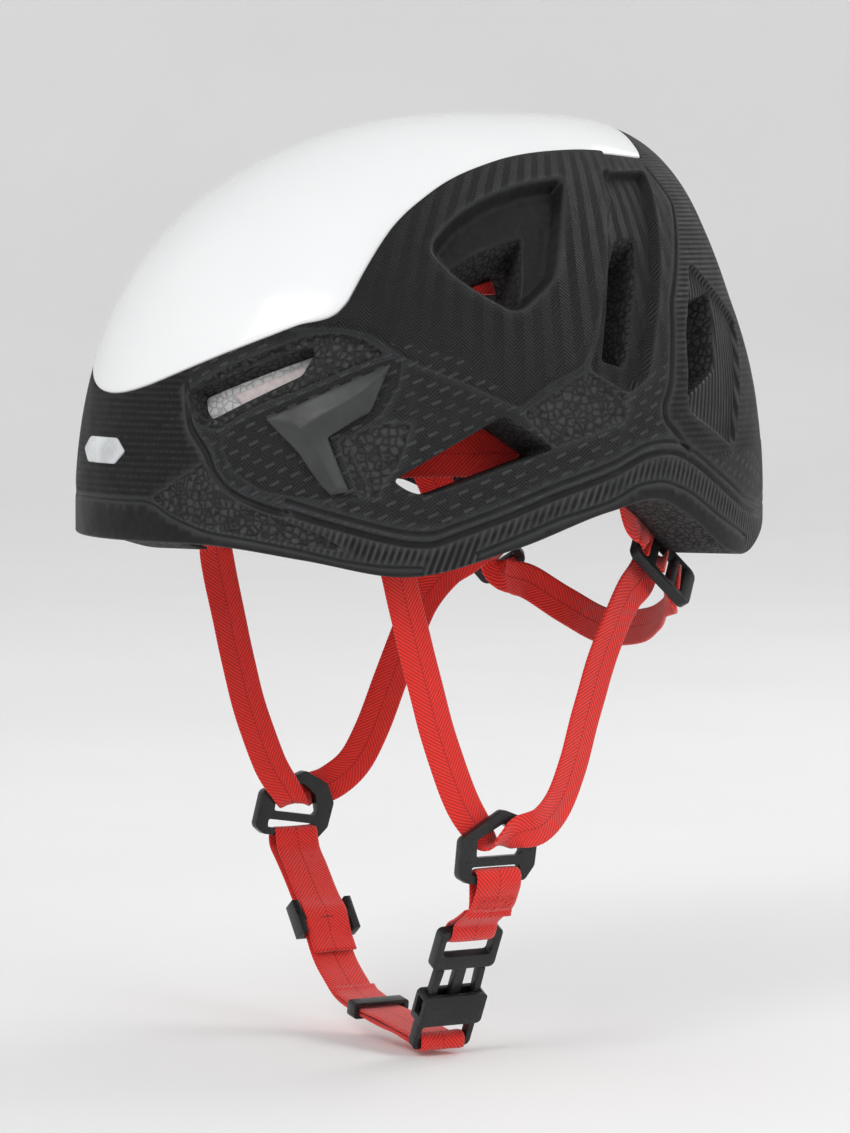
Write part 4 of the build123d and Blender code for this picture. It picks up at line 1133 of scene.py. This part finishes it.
# ---- the fit system's webbing ----
band_stations = [wall_station(angle, FOOT_Z, 49, WALL + 4.8 * MM, WALL, 18) for angle in np.linspace(-131,
                                                                                                     131, 45)]
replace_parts(webbing("head_band", band_stations, body="fit_system", thickness=1.6 * MM, step=2.5 * MM,
                    seed=7), "headband")

STRAP_GAP = 2.8 * MM  # from the shell's inside to the middle of the crown strap
CROWN_HALF, CROWN_LEAN = 67.2, 1.25  # half span in millimetres, and the end's angle in radians
heights = np.linspace(84 * MM, CROWN_Z - 0.1 * MM, 500)
climb = (heights - FOOT_Z) / (CROWN_Z - FOOT_Z)
half_width = (HALF_WIDTH - WALL - STRAP_GAP) * (1 - climb**SIDE_FALL) ** (1 / SIDE_ROUND)
crown_stations = []
for lean in np.linspace(-1, 1, 33):
    x = math.sin(lean * CROWN_LEAN)
    narrow = heights[half_width <= abs(x) * CROWN_HALF / 1000 / math.sin(CROWN_LEAN)]
    z = narrow[0] if len(narrow) else CROWN_Z
    lowered = FOOT_Z + (z - FOOT_Z) * (CROWN_Z - WALL - STRAP_GAP - FOOT_Z) / (CROWN_Z - FOOT_Z)
    spot = (x / math.sin(CROWN_LEAN) * CROWN_HALF, -15, lowered / MM)
    crown_stations.append((spot, (x, 0, math.sqrt(1 - x * x * 0.9)), 20))
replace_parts(webbing("crown_webbing", crown_stations, step=2.5 * MM, seed=8), "crown_strap")


# ---- moulded pieces: the CAD shapes with their edges eased ----
def eased(node, width):
    """A copy of a hard CAD piece with small rounded edges."""
    mesh = frame["nodes"][node].data.copy()
    mesh.materials.clear()
    mesh.materials.append(LOOK[SLOT_OF[node]])
    bm = bmesh.new()
    bm.from_mesh(mesh)
    bmesh.ops.remove_doubles(bm, verts=bm.verts, dist=0.004 * MM)
    bmesh.ops.dissolve_limit(bm, angle_limit=math.radians(2), verts=bm.verts, edges=bm.edges)
    for face in bm.faces:
        face.smooth = True
    sharp = [e for e in bm.edges if len(e.link_faces) == 2 and e.calc_face_angle(0) > SHARP]
    bmesh.ops.bevel(bm, geom=sharp, offset=width * MM, segments=2, profile=0.6, affect="EDGES",
                    clamp_overlap=True)
    bmesh.ops.triangulate(bm, faces=[f for f in bm.faces if len(f.verts) > 4])
    bm.to_mesh(mesh)
    bm.free()
    obj = new_object(f"{node}_eased", mesh)
    mesh.set_sharp_from_angle(angle=SHARP)
    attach(obj, BODY_OF[node])
    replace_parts(obj, node)


BODY_OF = {node: body for body, nodes in frame["record"]["behaviour"]["bodies"].items() for node in nodes}
SHARP = math.radians(35)
SLOT_OF = {s["node"]: s["material_slot"] for s in frame["record"]["subparts"]}
for node in ("rear_adjuster_left", "rear_adjuster_right", "strap_divider_left", "strap_divider_right",
             "buckle_male",
             "buckle_prong_front", "buckle_prong_rear", "buckle_female", "strap_slider", "strap_keeper",
             "strap_anchors",
             "pivot_pins", "nape_cradle", "cradle_cover", "cradle_screws", "fit_wheel", "rack_band_left",
             "rack_band_right"):
    eased(node, 0.7 if "divider" in node or "adjuster" in node else 0.35)


# ---- pads ----
PAD_FILL, CLOTH_STEPS = 0.6, 20


def coordinates(mesh):
    found = np.empty(len(mesh.vertices) * 3)
    mesh.vertices.foreach_get("co", found)
    return found.reshape(-1, 3)


def pad(node, swell):
    """A foam pad in a knitted cover, swollen a little by cloth simulation from its CAD block."""
    mesh = frame["nodes"][node].data.copy()
    mesh.materials.clear()
    mesh.materials.append(LOOK["pad_fabric"])
    obj = new_object(f"{node}_cover", mesh)
    bpy.context.view_layer.objects.active = obj
    remesh = obj.modifiers.new("remesh", "REMESH")
    remesh.mode = "VOXEL"
    remesh.voxel_size = 1.7 * MM if node != "crown_pad" else 2.4 * MM
    settle(obj)
    start = coordinates(obj.data)
    cloth = obj.modifiers.new("cloth", "CLOTH")
    cloth.settings.use_pressure = True
    cloth.settings.uniform_pressure_force = 4
    cloth.settings.effector_weights.gravity = 0
    cloth.settings.tension_stiffness = 8
    cloth.settings.bending_stiffness = 1.5
    for step in range(1, CLOTH_STEPS + 1):
        bpy.context.scene.frame_set(step)
    settle(obj)
    bpy.context.scene.frame_set(1)
    moved = coordinates(obj.data)
    if len(moved) == len(start):
        shift = moved - start
        size = np.linalg.norm(shift, axis=1, keepdims=True)
        moved = start + shift * np.minimum(1, swell * MM / np.maximum(size, 1e-9))
        obj.data.vertices.foreach_set("co", moved.ravel())
    divide = obj.modifiers.new("divide", "SUBSURF")
    divide.levels = 1
    settle(obj)
    obj.data.shade_smooth()
    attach(obj, BODY_OF[node])
    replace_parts(obj, node)


def settle(obj):
    """Replaces the mesh with what its modifiers make of it."""
    graph = bpy.context.evaluated_depsgraph_get()
    mesh = bpy.data.meshes.new_from_object(obj.evaluated_get(graph))
    obj.modifiers.clear()
    obj.data = mesh


pad("brow_pad", 0.8)
pad("crown_pad", 1.2)
pad("nape_pad", 0.25)


# ---- floor, light and camera ----
def stage():
    profile = [(0, 0), (1.2, 0), (2.4, 0), (3.2, 0.03), (3.9, 0.22), (4.4, 0.7), (4.6, 1.5), (4.65, 3.2)]
    columns = 96
    vertices = [(r * math.cos(2 * math.pi * n / columns), r * math.sin(2 * math.pi * n / columns),
                 FLOOR_Z + z)
                for r, z in profile[1:] for n in range(columns)]
    vertices.append((0, 0, FLOOR_Z))
    faces = [(k * columns + n, (k + 1) * columns + n, (k + 1) * columns + (n + 1) % columns,
              k * columns + (n + 1) % columns)
             for k in range(len(profile) - 2) for n in range(columns)]
    faces += [(len(vertices) - 1, n, (n + 1) % columns) for n in range(columns)]
    f = Finish("studio_floor", 0.8)
    f.colour(f.colours(f.noise(f.place(), 3), (0.3, (0.90, 0.90, 0.90)), (0.7, (0.93, 0.93, 0.93))))
    floor = make("studio_floor", vertices, faces, None, f.material)


def area_light(name, place, size, power):
    """A soft light that looks at the origin."""
    data = bpy.data.lights.new(name, "AREA")
    data.shape = "RECTANGLE"
    data.size, data.size_y = size
    data.energy = power
    obj = new_object(name, data)
    obj.location = place
    obj.rotation_euler = (-Vector(place)).to_track_quat("-Z", "Y").to_euler()


FLOOR_Z = CAD_BOUNDS[0][2] - 3 * MM
stage()
world = bpy.data.worlds.new("studio")
world.use_nodes = True
world.node_tree.nodes["Background"].inputs[0].default_value = (1.0, 1.0, 1.0, 1)
world.node_tree.nodes["Background"].inputs[1].default_value = 0.68
bpy.context.scene.world = world
area_light("key", (1.1, -1.9, 1.7), (1.0, 1.0), 22)
area_light("side", (2.2, 0.6, 0.9), (0.9, 0.9), 9)
area_light("rim", (-0.2, 1.9, 1.5), (1.6, 0.8), 13)

camera_data = bpy.data.cameras.new("camera")
SENSOR, FRAME_HEIGHT = 36, 1133  # millimetres, and pixels on the frame's long side
FOCAL_PIXELS, SHIFT_PIXELS = 5000, 5
camera_data.sensor_width = SENSOR
camera_data.lens = SENSOR * FOCAL_PIXELS / FRAME_HEIGHT
camera_data.shift_x = SHIFT_PIXELS / FRAME_HEIGHT
camera = new_object("camera", camera_data)
azimuth, elevation, reach = math.radians(60), math.radians(4), 2.0
camera.location = (reach * math.sin(azimuth) * math.cos(elevation),
                   -reach * math.cos(azimuth) * math.cos(elevation),
                   reach * math.sin(elevation))
camera.rotation_euler = (-camera.location).to_track_quat("-Z", "Y").to_euler()
bpy.context.scene.camera = camera
bpy.context.scene.view_settings.view_transform = "Standard"
